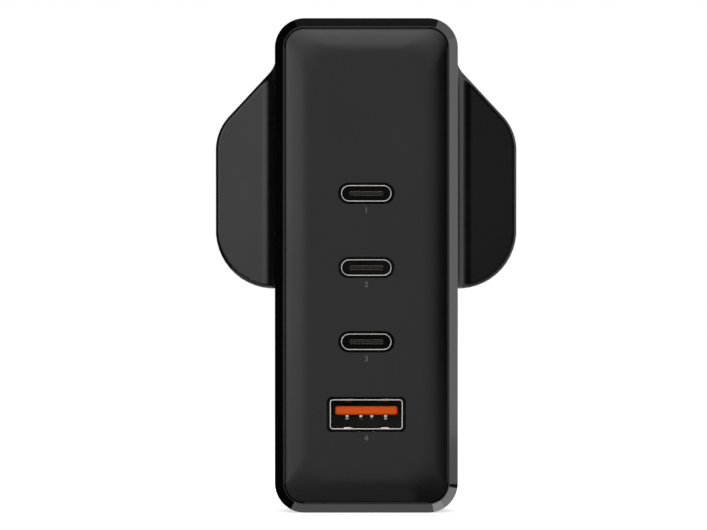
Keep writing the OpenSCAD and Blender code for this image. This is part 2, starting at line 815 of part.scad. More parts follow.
module left_heat_spreader() heat_spreader(-1);
module right_heat_spreader() heat_spreader(1);

// Line choke: a ring core with two windings, seated flat on the board
choke_y = main_board_y - choke_thickness / 2 - choke_wire - 0.2;
choke_wall = (choke_diameter - choke_bore) / 2;
turn_gap = 0.1;
choke_reach = choke_diameter / 2 + turn_gap + choke_wire;

module choke_core() {
    color([0.25, 0.4, 0.3]) translate([0, choke_y, 0]) rotate([90, 0, 0]) difference() {
        cylinder(d = choke_diameter, h = choke_thickness, center = true);
        cylinder(d = choke_bore, h = choke_thickness + 1, center = true);
    }
}

module choke_winding() {
    inner = [choke_wall + 2 * turn_gap, choke_thickness + 2 * turn_gap];
    outer = inner + 2 * [choke_wire, choke_wire];
    color([0.75, 0.4, 0.15]) translate([0, choke_y, 0])
        for (side = [0, 180], i = [0:choke_turns - 1])
            rotate([0, side + (i - (choke_turns - 1) / 2) * 18, 0])
                translate([(choke_diameter - choke_wall) / 2, 0, -choke_wire / 2]) linear_extrude(choke_wire)
                    difference() {
                        square(outer, center = true);
                        square(inner, center = true);
                    }
}

// Can with a rolled groove near its foot and a domed top, standing on a board
module can(x, z, y, d, h) {
    translate([x, y, z]) rotate([90, 0, 0]) rotate_extrude() polygon([
        [0, 0], [d / 2 - 0.4, 0], [d / 2, 0.4], [d / 2, 1.6], [d / 2 - 0.4, 2], [d / 2 - 0.4, 2.3],
        [d / 2, 2.7], [d / 2, h - 0.6], [d / 2 - 0.6, h], [0, h]
    ]);
}

bulk_step = bulk_diameter + bulk_gap;

module bulk_capacitor(column, row)
    color([0.15, 0.2, 0.35])
        can((column - 0.5) * bulk_step, board_top_z - part_gap - bulk_diameter / 2 - row * bulk_step,
            main_board_y, bulk_diameter, bulk_height);

module bulk_capacitor_1() bulk_capacitor(0, 0);
module bulk_capacitor_2() bulk_capacitor(1, 0);
module bulk_capacitor_3() bulk_capacitor(0, 1);
module bulk_capacitor_4() bulk_capacitor(1, 1);

module output_capacitor(side)
    color([0.75, 0.75, 0.78])
        can(side * (link_pitch + 2 * part_gap + output_diameter / 2), link_z, main_board_y,
            output_diameter, output_height);

module output_capacitor_1() output_capacitor(-1);
module output_capacitor_2() output_capacitor(1);

// Mains parts above and below the choke, each [width, depth, height]
filter_size = [13, 11, 5.4];
fuse_size = [8.4, 4, 3.2];
bridge_size = [10, 9, 3];
safety_diameter = 7;
safety_thickness = 3;
safety_lead = 0.6;
safety_leads = 5;
bulk_bottom_z = board_top_z - part_gap - 2 * bulk_diameter - bulk_gap;
over_choke_z = (choke_diameter / 2 + bulk_bottom_z) / 2;
under_choke_z = -choke_reach - part_gap - safety_diameter / 2;
chip_z = board_bottom_z + chip_margin + chip_size.z / 2;

module filter_capacitor() color([0.85, 0.75, 0.2])
    block(board_width / 10, under_choke_z, main_board_y, filter_size);

module safety_capacitor() {
    lift = safety_diameter / 2 + 1;
    color([0.2, 0.35, 0.6]) translate([-board_width / 3, main_board_y, under_choke_z]) rotate([90, 0, 0]) {
        translate([0, 0, lift]) rotate([0, 90, 0])
            cylinder(d = safety_diameter, h = safety_thickness, center = true);
        for (way = [-1, 1]) translate([-safety_lead / 2, (way * safety_leads - safety_lead) / 2, 0])
            cube([safety_lead, safety_lead, lift - safety_diameter / 4]);
    }
}

module fuse() color([0.3, 0.2, 0.15])
    block(-board_width / 4, over_choke_z, main_board_y, fuse_size);
module bridge_rectifier() color([0.08, 0.08, 0.08])
    block(board_width / 4, over_choke_z, main_board_y, bridge_size);
module power_switch() color([0.08, 0.08, 0.08])
    block(board_width / 3, chip_z, main_board_y, [chip_size.x, 0.6 * chip_size.y, chip_size.z]);
module primary_controller() color([0.08, 0.08, 0.08])
    block(-board_width / 3, chip_z, main_board_y, chip_size);

// Transformer: ferrite core, bobbin that stands on the board, and winding. Its height
// fills the room between the mains parts above it and the output parts below it.
core_top_z = under_choke_z - safety_diameter / 2 - part_gap;
core_bottom_z = link_z + max(output_diameter, link_pins * link_pitch) / 2 + part_gap;
core_height = core_top_z - core_bottom_z;
transformer_z = (core_top_z + core_bottom_z) / 2;
core_y = main_board_y - core_width / 2 + core_leg - bobbin_wall;
window_radius = core_width / 2 - core_leg;
window_height = core_height - 2 * core_yoke;
winding_gap = 0.2;

module upright_cylinder(d, h) cylinder(d = d, h = h, center = true);

module transformer_core() {
    color([0.2, 0.2, 0.22]) translate([0, core_y, transformer_z]) {
        difference() {
            cube([core_width, core_depth, core_height], center = true);
            cube([2 * window_radius, core_depth + 1, window_height], center = true);
        }
        upright_cylinder(core_post, window_height + 1);
    }
}

module transformer_bobbin() {
    flange_z = (window_height - bobbin_wall) / 2 - 0.1;
    foot = main_board_y - core_y;
    color([0.15, 0.15, 0.15]) translate([0, core_y, transformer_z]) difference() {
        union() {
            upright_cylinder(core_post + 2 * winding_gap + 2 * bobbin_wall, 2 * flange_z);
            for (way = [-1, 1]) translate([0, 0, way * flange_z]) {
                upright_cylinder(2 * (window_radius - winding_gap), bobbin_wall);
                translate([winding_gap - window_radius, 0, -bobbin_wall / 2])
                    cube([2 * (window_radius - winding_gap), foot, bobbin_wall]);
            }
        }
        upright_cylinder(core_post + 2 * winding_gap, window_height + 1);
    }
}

module transformer_winding() {
    height = window_height - 2 * bobbin_wall - 2 * winding_gap - 0.2;
    color([0.85, 0.7, 0.2]) translate([0, core_y, transformer_z]) difference() {
        upright_cylinder(2 * (window_radius - 2 * winding_gap), height);
        upright_cylinder(core_post + 4 * winding_gap + 2 * bobbin_wall, height + 1);
    }
}

// Pad that carries heat from the core to the right-hand spreader
module thermal_pad() {
    near = core_width / 2;
    far = cavity_width / 2 - spreader_thickness;
    color([0.6, 0.7, 0.8])
        block((near + far) / 2, transformer_z, core_y + core_depth / 2 - 1,
            [far - near, core_depth - 2, core_height - 2]);
}

// Chips and coils on the back of the port board, between the ports
controller_size = [5, 0.9, 5];
inductor_size = [6, 2, 6];
port_part_x = 0.15 * board_width;

module port_controllers() {
    color([0.08, 0.08, 0.08]) for (i = [0:1])
        block(-port_part_x, port_z[i] - port_pitch / 2, port_board_back_y + controller_size.y,
            controller_size);
}

module port_inductors() {
    color([0.3, 0.3, 0.32]) for (i = [0:1])
        block(port_part_x, port_z[i] - port_pitch / 2, port_board_back_y + inductor_size.y,
            inductor_size);
}

housing();
bezel_frame();
front_panel();
earth_pin();
live_pin();
neutral_pin();
live_pin_sleeve();
neutral_pin_sleeve();
live_clip();
neutral_clip();
top_port_shell();
top_port_tongue();
top_port_contacts();
middle_port_shell();
middle_port_tongue();
middle_port_contacts();
lower_port_shell();
lower_port_tongue();
lower_port_contacts();
large_port_shell();
large_port_tongue();
large_port_contacts();
port_board();
main_board();
board_link();
insulation_film();
left_heat_spreader();
right_heat_spreader();
thermal_pad();
transformer_core();
transformer_bobbin();
transformer_winding();
choke_core();
choke_winding();
bulk_capacitor_1();
bulk_capacitor_2();
bulk_capacitor_3();
bulk_capacitor_4();
filter_capacitor();
safety_capacitor();
fuse();
bridge_rectifier();
power_switch();
primary_controller();
output_capacitor_1();
output_capacitor_2();
port_controllers();
port_inductors();
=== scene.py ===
import math

import bmesh
import bpy
from mathutils import Matrix, Vector, kdtree


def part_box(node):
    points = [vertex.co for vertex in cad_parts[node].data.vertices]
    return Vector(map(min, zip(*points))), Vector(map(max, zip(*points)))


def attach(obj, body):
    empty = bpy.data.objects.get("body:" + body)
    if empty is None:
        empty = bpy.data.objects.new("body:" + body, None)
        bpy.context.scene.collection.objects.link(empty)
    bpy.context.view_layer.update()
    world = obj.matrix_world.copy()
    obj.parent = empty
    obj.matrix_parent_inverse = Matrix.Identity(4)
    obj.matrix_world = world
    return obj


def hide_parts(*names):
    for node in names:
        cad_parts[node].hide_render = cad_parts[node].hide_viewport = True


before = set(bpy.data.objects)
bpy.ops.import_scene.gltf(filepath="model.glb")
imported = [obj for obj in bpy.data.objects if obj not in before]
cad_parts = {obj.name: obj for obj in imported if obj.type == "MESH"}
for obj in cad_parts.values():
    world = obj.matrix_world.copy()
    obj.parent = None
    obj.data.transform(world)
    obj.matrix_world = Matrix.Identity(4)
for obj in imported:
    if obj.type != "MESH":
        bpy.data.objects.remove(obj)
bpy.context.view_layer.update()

MM = 0.001
body_low, body_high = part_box("housing")
frame_low, frame_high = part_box("bezel_frame")
front_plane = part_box("front_panel")[0].y
body_middle = (frame_low.z + frame_high.z) / 2

view_width = 128.545 * MM
lens = 600
sensor_width = 36
camera_distance = view_width * lens / sensor_width
camera_left = 2.336 * MM
camera_up = 0.073 * MM
tripod = bpy.data.cameras.new("camera")
tripod.lens = lens
tripod.sensor_width = sensor_width
tripod.clip_start = 0.1
tripod.clip_end = 20
camera = bpy.data.objects.new("camera", tripod)
camera.location = (-camera_left, front_plane - camera_distance, body_middle + camera_up)
camera.rotation_euler = (math.pi / 2, 0, 0)
bpy.context.scene.collection.objects.link(camera)
bpy.context.scene.camera = camera
bpy.context.scene.view_settings.view_transform = "Standard"


# Table and room: a white table under the charger and a white room round it. Both look
# white to the camera, and the table keeps the charger's soft shadow.
def put(tree, kind, family="ShaderNode", **values):
    node = tree.nodes.new(family + kind)
    for name, value in values.items():
        label = name.replace("_", " ")
        if label in node.inputs:
            node.inputs[label].default_value = value
        else:
            setattr(node, name, value)
    return node


def join(tree, source, target):
    tree.links.new(source, target)


def surface_of(name, **values):
    material = bpy.data.materials.new(name)
    material.use_nodes = True
    surface = material.node_tree.nodes["Principled BSDF"]
    for label, value in values.items():
        surface.inputs[label.replace("_", " ")].default_value = value
    return material, material.node_tree, surface


def seen_directly(tree, in_picture=1.0, in_gloss=1.0):
    rays = put(tree, "LightPath")
    total = None
    for ray, level in (("Camera", in_picture), ("Glossy", in_gloss), ("Transmission", in_picture)):
        share = put(tree, "Math", operation="MULTIPLY")
        share.inputs[1].default_value = level
        join(tree, rays.outputs["Is " + ray + " Ray"], share.inputs[0])
        if total:
            larger = put(tree, "Math", operation="MAXIMUM")
            join(tree, total, larger.inputs[0])
            join(tree, share.outputs[0], larger.inputs[1])
            share = larger
        total = share.outputs[0]
    return total


room_light = 0.62
room = bpy.data.worlds.new("room")
room.use_nodes = True
room.node_tree.nodes.clear()
sky = put(room.node_tree, "Background", Color=(1, 1, 1, 1))
sky_level = put(room.node_tree, "MapRange", To_Min=room_light, To_Max=1)
join(room.node_tree, seen_directly(room.node_tree), sky_level.inputs["Value"])
join(room.node_tree, sky_level.outputs["Result"], sky.inputs["Strength"])
sky_out = put(room.node_tree, "OutputWorld")
join(room.node_tree, sky.outputs[0], sky_out.inputs["Surface"])
room.cycles.sampling_method = "NONE"
bpy.context.scene.world = room


def flat_sheet(name, corners, material):
    mesh = bpy.data.meshes.new(name)
    mesh.from_pydata(corners, [], [(0, 1, 2, 3)])
    sheet = bpy.data.objects.new(name, mesh)
    sheet.data.materials.append(material)
    bpy.context.scene.collection.objects.link(sheet)
    return sheet


def level_corners(x0, x1, y0, y1, z):
    return [(x0, y0, z), (x1, y0, z), (x1, y1, z), (x0, y1, z)]


table_white, table_tree, table_surface = surface_of(
    "table_white", Roughness=0.9, Specular_IOR_Level=0, Emission_Color=(1, 1, 1, 1)
)
table_grey = 0.86
table_glow = 0.55
table_glow_in_gloss = 1.05
table_colour = put(table_tree, "Mix", data_type="RGBA")
table_colour.inputs["A"].default_value = (table_grey, table_grey, table_grey, 1)
table_colour.inputs["B"].default_value = (0, 0, 0, 1)
join(table_tree, put(table_tree, "LightPath").outputs["Is Glossy Ray"], table_colour.inputs["Factor"])
join(table_tree, table_colour.outputs["Result"], table_surface.inputs["Base Color"])
glow = seen_directly(table_tree, table_glow, table_glow_in_gloss)
join(table_tree, glow, table_surface.inputs["Emission Strength"])
table_z = body_low.z - 0.02 * MM
table_reach = 5
flat_sheet("table", level_corners(-table_reach, table_reach, -table_reach, table_reach, table_z), table_white)


# Lights: soft boxes above the front, at its left and at its right, with black flags
# between them and cards laid on the table at the charger's foot, as glossy black goods
# are lit. The flags and the cards show only in reflections.
def stand_at(azimuth, elevation, distance):
    a, e = math.radians(azimuth), math.radians(elevation)
    middle = Vector((0, front_plane, body_middle))
    way = Vector((math.sin(a) * math.cos(e), -math.cos(a) * math.cos(e), math.sin(e)))
    return middle + way * distance, (-way).to_track_quat("-Z", "Y")


def soft_box(name, azimuth, elevation, distance, width, height, brightness):
    lamp = bpy.data.lights.new(name, "AREA")
    lamp.shape = "RECTANGLE"
    lamp.size = width
    lamp.size_y = height
    lamp.energy = brightness * math.pi * width * height
    box = bpy.data.objects.new(name, lamp)
    box.location, turn = stand_at(azimuth, elevation, distance)
    box.rotation_mode = "QUATERNION"
    box.rotation_quaternion = turn
    box.visible_camera = False
    bpy.context.scene.collection.objects.link(box)


def lit_card(name, brightness):
    return surface_of(
        name, Base_Color=(0, 0, 0, 1), Specular_IOR_Level=0,
        Emission_Color=(1, 1, 1, 1), Emission_Strength=brightness,
    )[0]


def only_in_gloss(sheet):
    sheet.visible_camera = False
    sheet.visible_diffuse = False
    sheet.visible_transmission = False
    sheet.visible_shadow = False


def flag(name, azimuth, elevation, distance, width, height, cloth):
    middle, turn = stand_at(azimuth, elevation, distance)
    around = ((-1, -1), (1, -1), (1, 1), (-1, 1))
    corners = [middle + turn @ Vector((x * width / 2, y * height / 2, 0)) for x, y in around]
    only_in_gloss(flat_sheet(name, corners, cloth))


# Direction from the charger in degrees, distance and size in metres, brightness
for box_row in (
    ("soft_box_above", 0, 48, 1.2, 1.1, 0.62, 2.45),
    ("soft_box_lower", 0, 24, 1.3, 0.8, 0.34, 1.72),
    ("soft_box_left", -48, 2, 1.2, 0.62, 0.9, 2.2),
    ("soft_box_upper_left", -36, 30, 1.2, 0.42, 0.4, 2.5),
    ("soft_box_near_left", -23, 0, 1.2, 0.4, 0.5, 1.4),
    ("soft_box_right", 92, 0, 1.0, 0.42, 0.9, 1.2),
    ("soft_box_upper_right", 90, 49, 1.0, 0.42, 0.92, 0.62),
):
    soft_box(*box_row)

# Direction, distance and size as for the soft boxes, and the cloth
black_cloth = surface_of("black_cloth", Base_Color=(0, 0, 0, 1), Specular_IOR_Level=0)[0]
for flag_row in (
    ("flag_left", -94, 0, 1.0, 0.85, 1.2, black_cloth),
    ("flag_rear_left", -135, 0, 1.0, 0.8, 1.2, black_cloth),
    ("flag_right", 50, 0, 1.1, 1.0, 1.6, black_cloth),
    ("flag_upper_left", -90, 50, 0.95, 0.9, 0.92, black_cloth),
    ("flag_upper_right", 50, 47, 1.0, 0.8, 0.6, black_cloth),
    ("flag_above", 0, 92, 0.9, 0.66, 0.7, lit_card("grey_cloth", 0.15)),
    ("flag_behind", 2, -2, 1.6, 0.72, 0.8, lit_card("pale_cloth", 0.8)),
):
    flag(*flag_row)

# Left and right edge in millimetres, front and back edge, and the card's surface
card_z = table_z + 0.01 * MM
foot_front_y = front_plane - 0.1 * MM
foot_back_y = body_low.y - 1.2 * MM
apron_y = front_plane - 60 * MM
far_reach = 0.2
for name, left, right, card_front_y, card_back_y, card in (
    ("grey_card_front", -60, 9, apron_y, foot_front_y, lit_card("grey_card", 0.42)),
    ("dark_card_front", 9, 90, apron_y, foot_front_y, lit_card("deep_card", 0.13)),
    ("black_card_right", 90, 900, front_plane - 900 * MM, apron_y, black_cloth),
    ("black_card_left", -90, -14.1, foot_front_y, foot_back_y, black_cloth),
    ("far_card_left", -1100, -90, front_plane - far_reach, front_plane + far_reach, black_cloth),
    ("white_card_below", -14.1, 12.3, foot_front_y, foot_back_y, lit_card("pale_card", 1.32)),
    ("bright_card_right", 12.3, 15, foot_front_y, foot_back_y, lit_card("bright_card", 4.4)),
    ("white_card_right", 15, 39.6, foot_front_y, foot_back_y, lit_card("white_card", 3.2)),
    ("dark_card_right", 39.6, 126, foot_front_y, foot_back_y, lit_card("dark_card", 0.1)),
    ("far_card_right", 126, 1100, apron_y, front_plane + far_reach, lit_card("far_card", 1.5)),
):
    corners = level_corners(left * MM, right * MM, card_front_y, card_back_y, card_z)
    only_in_gloss(flat_sheet(name, corners, card))


# Housing: the body with its plug wings, moulded in one piece in charcoal plastic with a
# fine spark-eroded texture. The boards slide in from the front, and the pins sit in it.
def field(tree, name, kind, way="INPUT", value=None):
    socket = tree.interface.new_socket(name, in_out=way, socket_type="NodeSocket" + kind)
    if value is not None:
        socket.default_value = value


def new_effect(name, sockets_in, sockets_out):
    tree = bpy.data.node_groups.new(name, "ShaderNodeTree")
    for label, kind, value in sockets_in:
        field(tree, label, kind, "INPUT", value)
    for label, kind in sockets_out:
        field(tree, label, kind, "OUTPUT")
    return tree, tree.nodes.new("NodeGroupInput"), tree.nodes.new("NodeGroupOutput")


# Spark-eroded texture of a mould, with its slow change of gloss over the surface
grain, grain_in, grain_out = new_effect(
    "moulded_grain",
    [("Grain Scale", "Float", 9000.0), ("Patch Scale", "Float", 60.0)],
    [("Height", "Float"), ("Gloss", "Float"), ("Tone", "Float")],
)
place = put(grain, "TexCoord")
pebbles = put(grain, "TexNoise", Detail=2.0, Roughness=0.55)
join(grain, place.outputs["Object"], pebbles.inputs["Vector"])
join(grain, grain_in.outputs["Grain Scale"], pebbles.inputs["Scale"])
join(grain, pebbles.outputs["Fac"], grain_out.inputs["Height"])
patches = put(grain, "TexNoise", Detail=3.0, Roughness=0.6)
join(grain, place.outputs["Object"], patches.inputs["Vector"])
join(grain, grain_in.outputs["Patch Scale"], patches.inputs["Scale"])
join(grain, patches.outputs["Fac"], grain_out.inputs["Gloss"])
specks = put(grain, "Math", operation="MULTIPLY")
join(grain, pebbles.outputs["Fac"], specks.inputs[0])
join(grain, patches.outputs["Fac"], specks.inputs[1])
join(grain, specks.outputs[0], grain_out.inputs["Tone"])


# Most values of a noise lie between these two, so they are spread over the wanted range
noise_low = 0.3
noise_high = 0.7


def span(tree, value, low, high):
    spread = put(tree, "MapRange", From_Min=noise_low, From_Max=noise_high, To_Min=low, To_Max=high)
    join(tree, value, spread.inputs["Value"])
    return spread.outputs["Result"]


def blend_colours(tree, mask, first, second):
    ramp = put(tree, "ValToRGB")
    for stop, position, colour in zip(ramp.color_ramp.elements, (noise_low, noise_high), (first, second)):
        stop.position = position
        stop.color = (*colour, 1)
    join(tree, mask, ramp.inputs["Fac"])
    return ramp.outputs["Color"]


def use_effect(tree, effect, **values):
    node = tree.nodes.new("ShaderNodeGroup")
    node.node_tree = effect
    for label, value in values.items():
        node.inputs[label.replace("_", " ")].default_value = value
    return node


def raise_surface(tree, surface, height, strength, distance):
    bump = put(tree, "Bump", Strength=strength, Distance=distance)
    join(tree, height, bump.inputs["Height"])
    join(tree, bump.outputs["Normal"], surface.inputs["Normal"])


def moulded_plastic(name, dark, light, gloss, scale=9000.0, specular=0.5):
    grain_depth = 0.004 * MM
    material, tree, surface = surface_of(name, Specular_IOR_Level=specular)
    texture = use_effect(tree, grain, Grain_Scale=scale)
    join(tree, blend_colours(tree, texture.outputs["Tone"], dark, light), surface.inputs["Base Color"])
    join(tree, span(tree, texture.outputs["Gloss"], *gloss), surface.inputs["Roughness"])
    raise_surface(tree, surface, texture.outputs["Height"], 0.5, grain_depth)
    return material


def dress(node, material):
    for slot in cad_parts[node].material_slots:
        slot.material = material


def settled(mesh, angle=50, weld=0.0005 * MM):
    shell = bmesh.new()
    shell.from_mesh(mesh)
    bmesh.ops.remove_doubles(shell, verts=shell.verts, dist=weld)
    bmesh.ops.recalc_face_normals(shell, faces=shell.faces)
    for face in shell.faces:
        face.smooth = True
    for edge in shell.edges:
        edge.smooth = len(edge.link_faces) == 2 and edge.calc_face_angle() < math.radians(angle)
    shell.to_mesh(mesh)
    shell.free()
    return mesh


def wear_only(mesh, material):
    mesh.materials.clear()
    mesh.materials.append(material)
    return mesh


def smooth_copy(node, material):
    return wear_only(settled(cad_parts[node].data.copy(), angle=32, weld=0.001 * MM), material)


def maker_of(name, data):
    maker = bpy.data.objects.new(name + "_maker", data)
    bpy.context.scene.collection.objects.link(maker)
    return maker


def made_by(maker):
    bpy.context.view_layer.update()
    mesh = bpy.data.meshes.new_from_object(maker.evaluated_get(bpy.context.evaluated_depsgraph_get()))
    bpy.data.objects.remove(maker)
    return mesh


def evenly_shaded(mesh):
    maker = maker_of(mesh.name, mesh)
    maker.modifiers.new("even_shading", "WEIGHTED_NORMAL").keep_sharp = True
    return made_by(maker)


def stand_for(name, mesh, slot, *nodes):
    mesh.name = name
    piece = bpy.data.objects.new(name, mesh)
    bpy.context.scene.collection.objects.link(piece)
    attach(piece, "root")
    if nodes:
        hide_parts(*nodes)


housing_plastic = moulded_plastic(
    "housing_plastic", (0.0015, 0.0015, 0.0015), (0.0024, 0.0024, 0.0023), (0.25, 0.31), specular=0.34
)

# The wings' slope and its hollow blend into the body's side, as part.scad draws them. At
# the slants the solid's faces bridge the blend, so faces near the curve count as slope.
plug_half_width = body_high.x
body_half_width = frame_high.x
rim_thickness = 6.2 * MM
wing_slope = math.radians(12)
wing_blend = 3.1 * MM
shaded_blend = 3.6 * MM
slope_room = 0.35 * MM
slope_start_x = body_half_width - 0.07 * MM
least_rise = 0.001 * MM
wall_tilt = 0.02
rounding_tilt = 0.5


def wing_level(x, blend):
    blend_end = body_half_width + blend * (1 - math.sin(wing_slope))
    flat = rim_thickness + (plug_half_width - max(x, blend_end)) * math.tan(wing_slope)
    if x >= blend_end:
        return flat, -math.tan(wing_slope)
    reach = body_half_width + blend - max(x, body_half_width)
    rise = math.sqrt(max(blend**2 - reach**2, least_rise**2))
    return flat + blend * math.cos(wing_slope) - rise, -reach / rise


def on_slope(spot):
    level = wing_level(abs(spot.x), wing_blend)[0]
    return abs(spot.y + level) < slope_room and abs(spot.x) > slope_start_x


# The slopes are cut into small pieces, so that their shading can follow a curve
housing_mesh = smooth_copy("housing", housing_plastic)
wings = bmesh.new()
wings.from_mesh(housing_mesh)
cut_step = 0.25 * MM
cuts_across = int((plug_half_width - body_half_width) / cut_step)
cuts_up = int((body_high.z - body_low.z) / cut_step / 2)
cuts = []
for side in (-1, 1):
    for k in range(cuts_across):
        cuts.append((Vector((side * (body_half_width + k * cut_step), 0, 0)), Vector((1, 0, 0))))
for k in range(cuts_up):
    cuts.append((Vector((0, 0, body_low.z + k * 2 * cut_step)), Vector((0, 0, 1))))
for cut_place, way in cuts:
    fronts = [face for face in wings.faces if face.normal.y < -rounding_tilt]
    slopes = [face for face in fronts if all(on_slope(v.co) for v in face.verts)]
    edges = {edge for face in slopes for edge in face.edges}
    corners = {v for face in slopes for v in face.verts}
    bmesh.ops.bisect_plane(
        wings, geom=[*slopes, *edges, *corners], dist=0.0001 * MM, plane_co=cut_place, plane_no=way
    )

# Edge of the wings: where their side walls end and the rounding to the front begins
rim_step = 0.05 * MM
rim_front_y = -3 * MM
rim_points = []
for edge in wings.edges:
    a, b = edge.verts[0].co, edge.verts[1].co
    if min(abs(a.x), abs(b.x)) > body_half_width + rim_step and len(edge.link_faces) == 2:
        tilts = sorted(abs(face.normal.y) for face in edge.link_faces)
        if tilts[0] < wall_tilt < tilts[1] < rounding_tilt and max(a.y, b.y) < rim_front_y:
            steps = max(1, int((b - a).length / rim_step))
            for k in range(steps + 1):
                rim_points.append((a.x + (b.x - a.x) * k / steps, 0, a.z + (b.z - a.z) * k / steps))
wings.to_mesh(housing_mesh)
wings.free()
rim_tree = kdtree.KDTree(len(rim_points))
for index, point in enumerate(rim_points):
    rim_tree.insert(point, index)
rim_tree.balance()

# Shading of the wings' fronts: even on the slope, turning outward along the edge, and with
# the blend a little wider than its form
housing_mesh = evenly_shaded(housing_mesh)
edge_shading = 0.72 * MM
rounding_width = 0.6 * MM
wing_front_y = -20 * MM
wing_back_y = -5 * MM
edge_start_x = body_half_width + 1 * MM
corner_normals = [Vector(c.vector) for c in housing_mesh.corner_normals]
for corner in housing_mesh.loops:
    spot = housing_mesh.vertices[corner.vertex_index].co
    if abs(spot.x) < slope_start_x or not wing_front_y < spot.y < wing_back_y:
        continue
    fall = wing_level(abs(spot.x), shaded_blend)[1]
    flat = Vector((math.copysign(-fall, spot.x), -1, 0)).normalized()
    level_spot = Vector((spot.x, 0, spot.z))
    near, _, away = rim_tree.find(level_spot)
    if corner_normals[corner.index].y > -wall_tilt or not (on_slope(spot) or away < rounding_width):
        continue
    if away >= edge_shading or abs(spot.x) <= edge_start_x:
        corner_normals[corner.index] = flat
    elif away > 0.01 * MM:
        out = (near - level_spot).normalized()
        lean = 1 - away / edge_shading
        corner_normals[corner.index] = (flat * math.sqrt(1 - lean**2) + out * lean).normalized()
housing_mesh.normals_split_custom_set(corner_normals)
stand_for("housing_shell", housing_mesh, "housing_plastic", "housing")


# Bezel frame: a glossy black frame whose bevel runs round the front. It is moulded by
# itself and its tongue snaps into the housing. It is one section swept round the outline.
frame_material, frame_tree, frame_surface = surface_of(
    "frame_gloss", Base_Color=(0.0016, 0.0016, 0.0017, 1), Specular_IOR_Level=0.5
)
frame_marks = use_effect(frame_tree, grain, Grain_Scale=2600.0, Patch_Scale=140.0)
frame_gloss = span(frame_tree, frame_marks.outputs["Gloss"], 0.03, 0.07)
join(frame_tree, frame_gloss, frame_surface.inputs["Roughness"])
frame_black = blend_colours(
    frame_tree, frame_marks.outputs["Tone"], (0.0014, 0.0014, 0.0015), (0.002, 0.002, 0.002)
)
join(frame_tree, frame_black, frame_surface.inputs["Base Color"])
mark_strength = 0.06
mark_depth = 0.002 * MM
raise_surface(frame_tree, frame_surface, frame_marks.outputs["Height"], mark_strength, mark_depth)

frame_lip_y = frame_low.y
parting_y = body_low.y
frame_bevel = 1.55 * MM
frame_ease = 0.06 * MM
frame_opening = 1.7 * MM
frame_ledge = 2.5 * MM
ledge_front_y = front_plane + 2.9 * MM
tongue_outer = 1.2 * MM
tongue_inner = 2.2 * MM
corner_radius = 5.4 * MM
frame_section = [
    (0, parting_y),
    (0, frame_lip_y + frame_bevel),
    (frame_bevel, frame_lip_y),
    (frame_opening, frame_lip_y),
    (frame_opening, ledge_front_y),
    (frame_ledge, ledge_front_y),
    (frame_ledge, parting_y),
    (tongue_inner, parting_y),
    (tongue_inner, frame_high.y),
    (tongue_outer, frame_high.y),
    (tongue_outer, parting_y),
]

sweep = bpy.data.node_groups.new("frame_sweep", "GeometryNodeTree")
field(sweep, "Section", "Geometry")
field(sweep, "Swept", "Geometry", "OUTPUT")
for label, value in (("Width", 0.03), ("Height", 0.09), ("Corner", 0.005), ("Edge", 0.00006)):
    field(sweep, label, "Float", "INPUT", value)
field(sweep, "Finish", "Material")


def geo(tree, kind, **values):
    return put(tree, kind, "GeometryNode", **values)


sweep_in = sweep.nodes.new("NodeGroupInput")
sweep_out = sweep.nodes.new("NodeGroupOutput")
outline = geo(sweep, "CurvePrimitiveQuadrilateral")
join(sweep, sweep_in.outputs["Width"], outline.inputs["Width"])
join(sweep, sweep_in.outputs["Height"], outline.inputs["Height"])
rounded = geo(sweep, "FilletCurve", mode="POLY", Count=24)
join(sweep, outline.outputs["Curve"], rounded.inputs["Curve"])
join(sweep, sweep_in.outputs["Corner"], rounded.inputs["Radius"])
upright = geo(sweep, "SetCurveNormal", mode="Z_UP")
join(sweep, rounded.outputs["Curve"], upright.inputs["Curve"])
eased = geo(sweep, "FilletCurve", mode="POLY", Count=3)
section_curve = geo(sweep, "MeshToCurve")
join(sweep, sweep_in.outputs["Section"], section_curve.inputs["Mesh"])
join(sweep, section_curve.outputs["Curve"], eased.inputs["Curve"])
join(sweep, sweep_in.outputs["Edge"], eased.inputs["Radius"])
drawn = geo(sweep, "CurveToMesh")
join(sweep, upright.outputs["Curve"], drawn.inputs["Curve"])
join(sweep, eased.outputs["Curve"], drawn.inputs["Profile Curve"])
stood = geo(sweep, "Transform", Rotation=(math.pi / 2, 0, 0))
join(sweep, drawn.outputs["Mesh"], stood.inputs["Geometry"])
soft = geo(sweep, "SetShadeSmooth")
join(sweep, stood.outputs["Geometry"], soft.inputs["Geometry"])
real = geo(sweep, "RealizeInstances")
join(sweep, soft.outputs["Geometry"], real.inputs["Geometry"])
finish = geo(sweep, "SetMaterial")
join(sweep, real.outputs["Geometry"], finish.inputs["Geometry"])
join(sweep, sweep_in.outputs["Finish"], finish.inputs["Material"])
join(sweep, finish.outputs["Geometry"], sweep_out.inputs["Swept"])


def grown(name, tree, base, **sizes):
    maker = maker_of(name, base)
    modifier = maker.modifiers.new("maker", "NODES")
    modifier.node_group = tree
    for item in tree.interface.items_tree:
        if item.item_type == "SOCKET" and item.in_out == "INPUT" and item.name in sizes:
            modifier[item.identifier] = sizes[item.name]
    mesh = made_by(maker)
    mesh.name = name
    return mesh


def section_mesh(name, points):
    mesh = bpy.data.meshes.new(name)
    count = len(points)
    mesh.from_pydata([(-u, v, 0) for u, v in points], [(i, (i + 1) % count) for i in range(count)], [])
    return mesh


frame_width = frame_high.x - frame_low.x
frame_height = frame_high.z - frame_low.z
frame_mesh = grown(
    "bezel_ring", sweep, section_mesh("frame_section", frame_section),
    Width=frame_width, Height=frame_height, Corner=corner_radius, Edge=frame_ease, Finish=frame_material,
)
frame_mesh.transform(Matrix.Translation((0, 0, body_middle)))
stand_for("bezel_ring", evenly_shaded(settled(frame_mesh)), "frame_gloss", "bezel_frame")


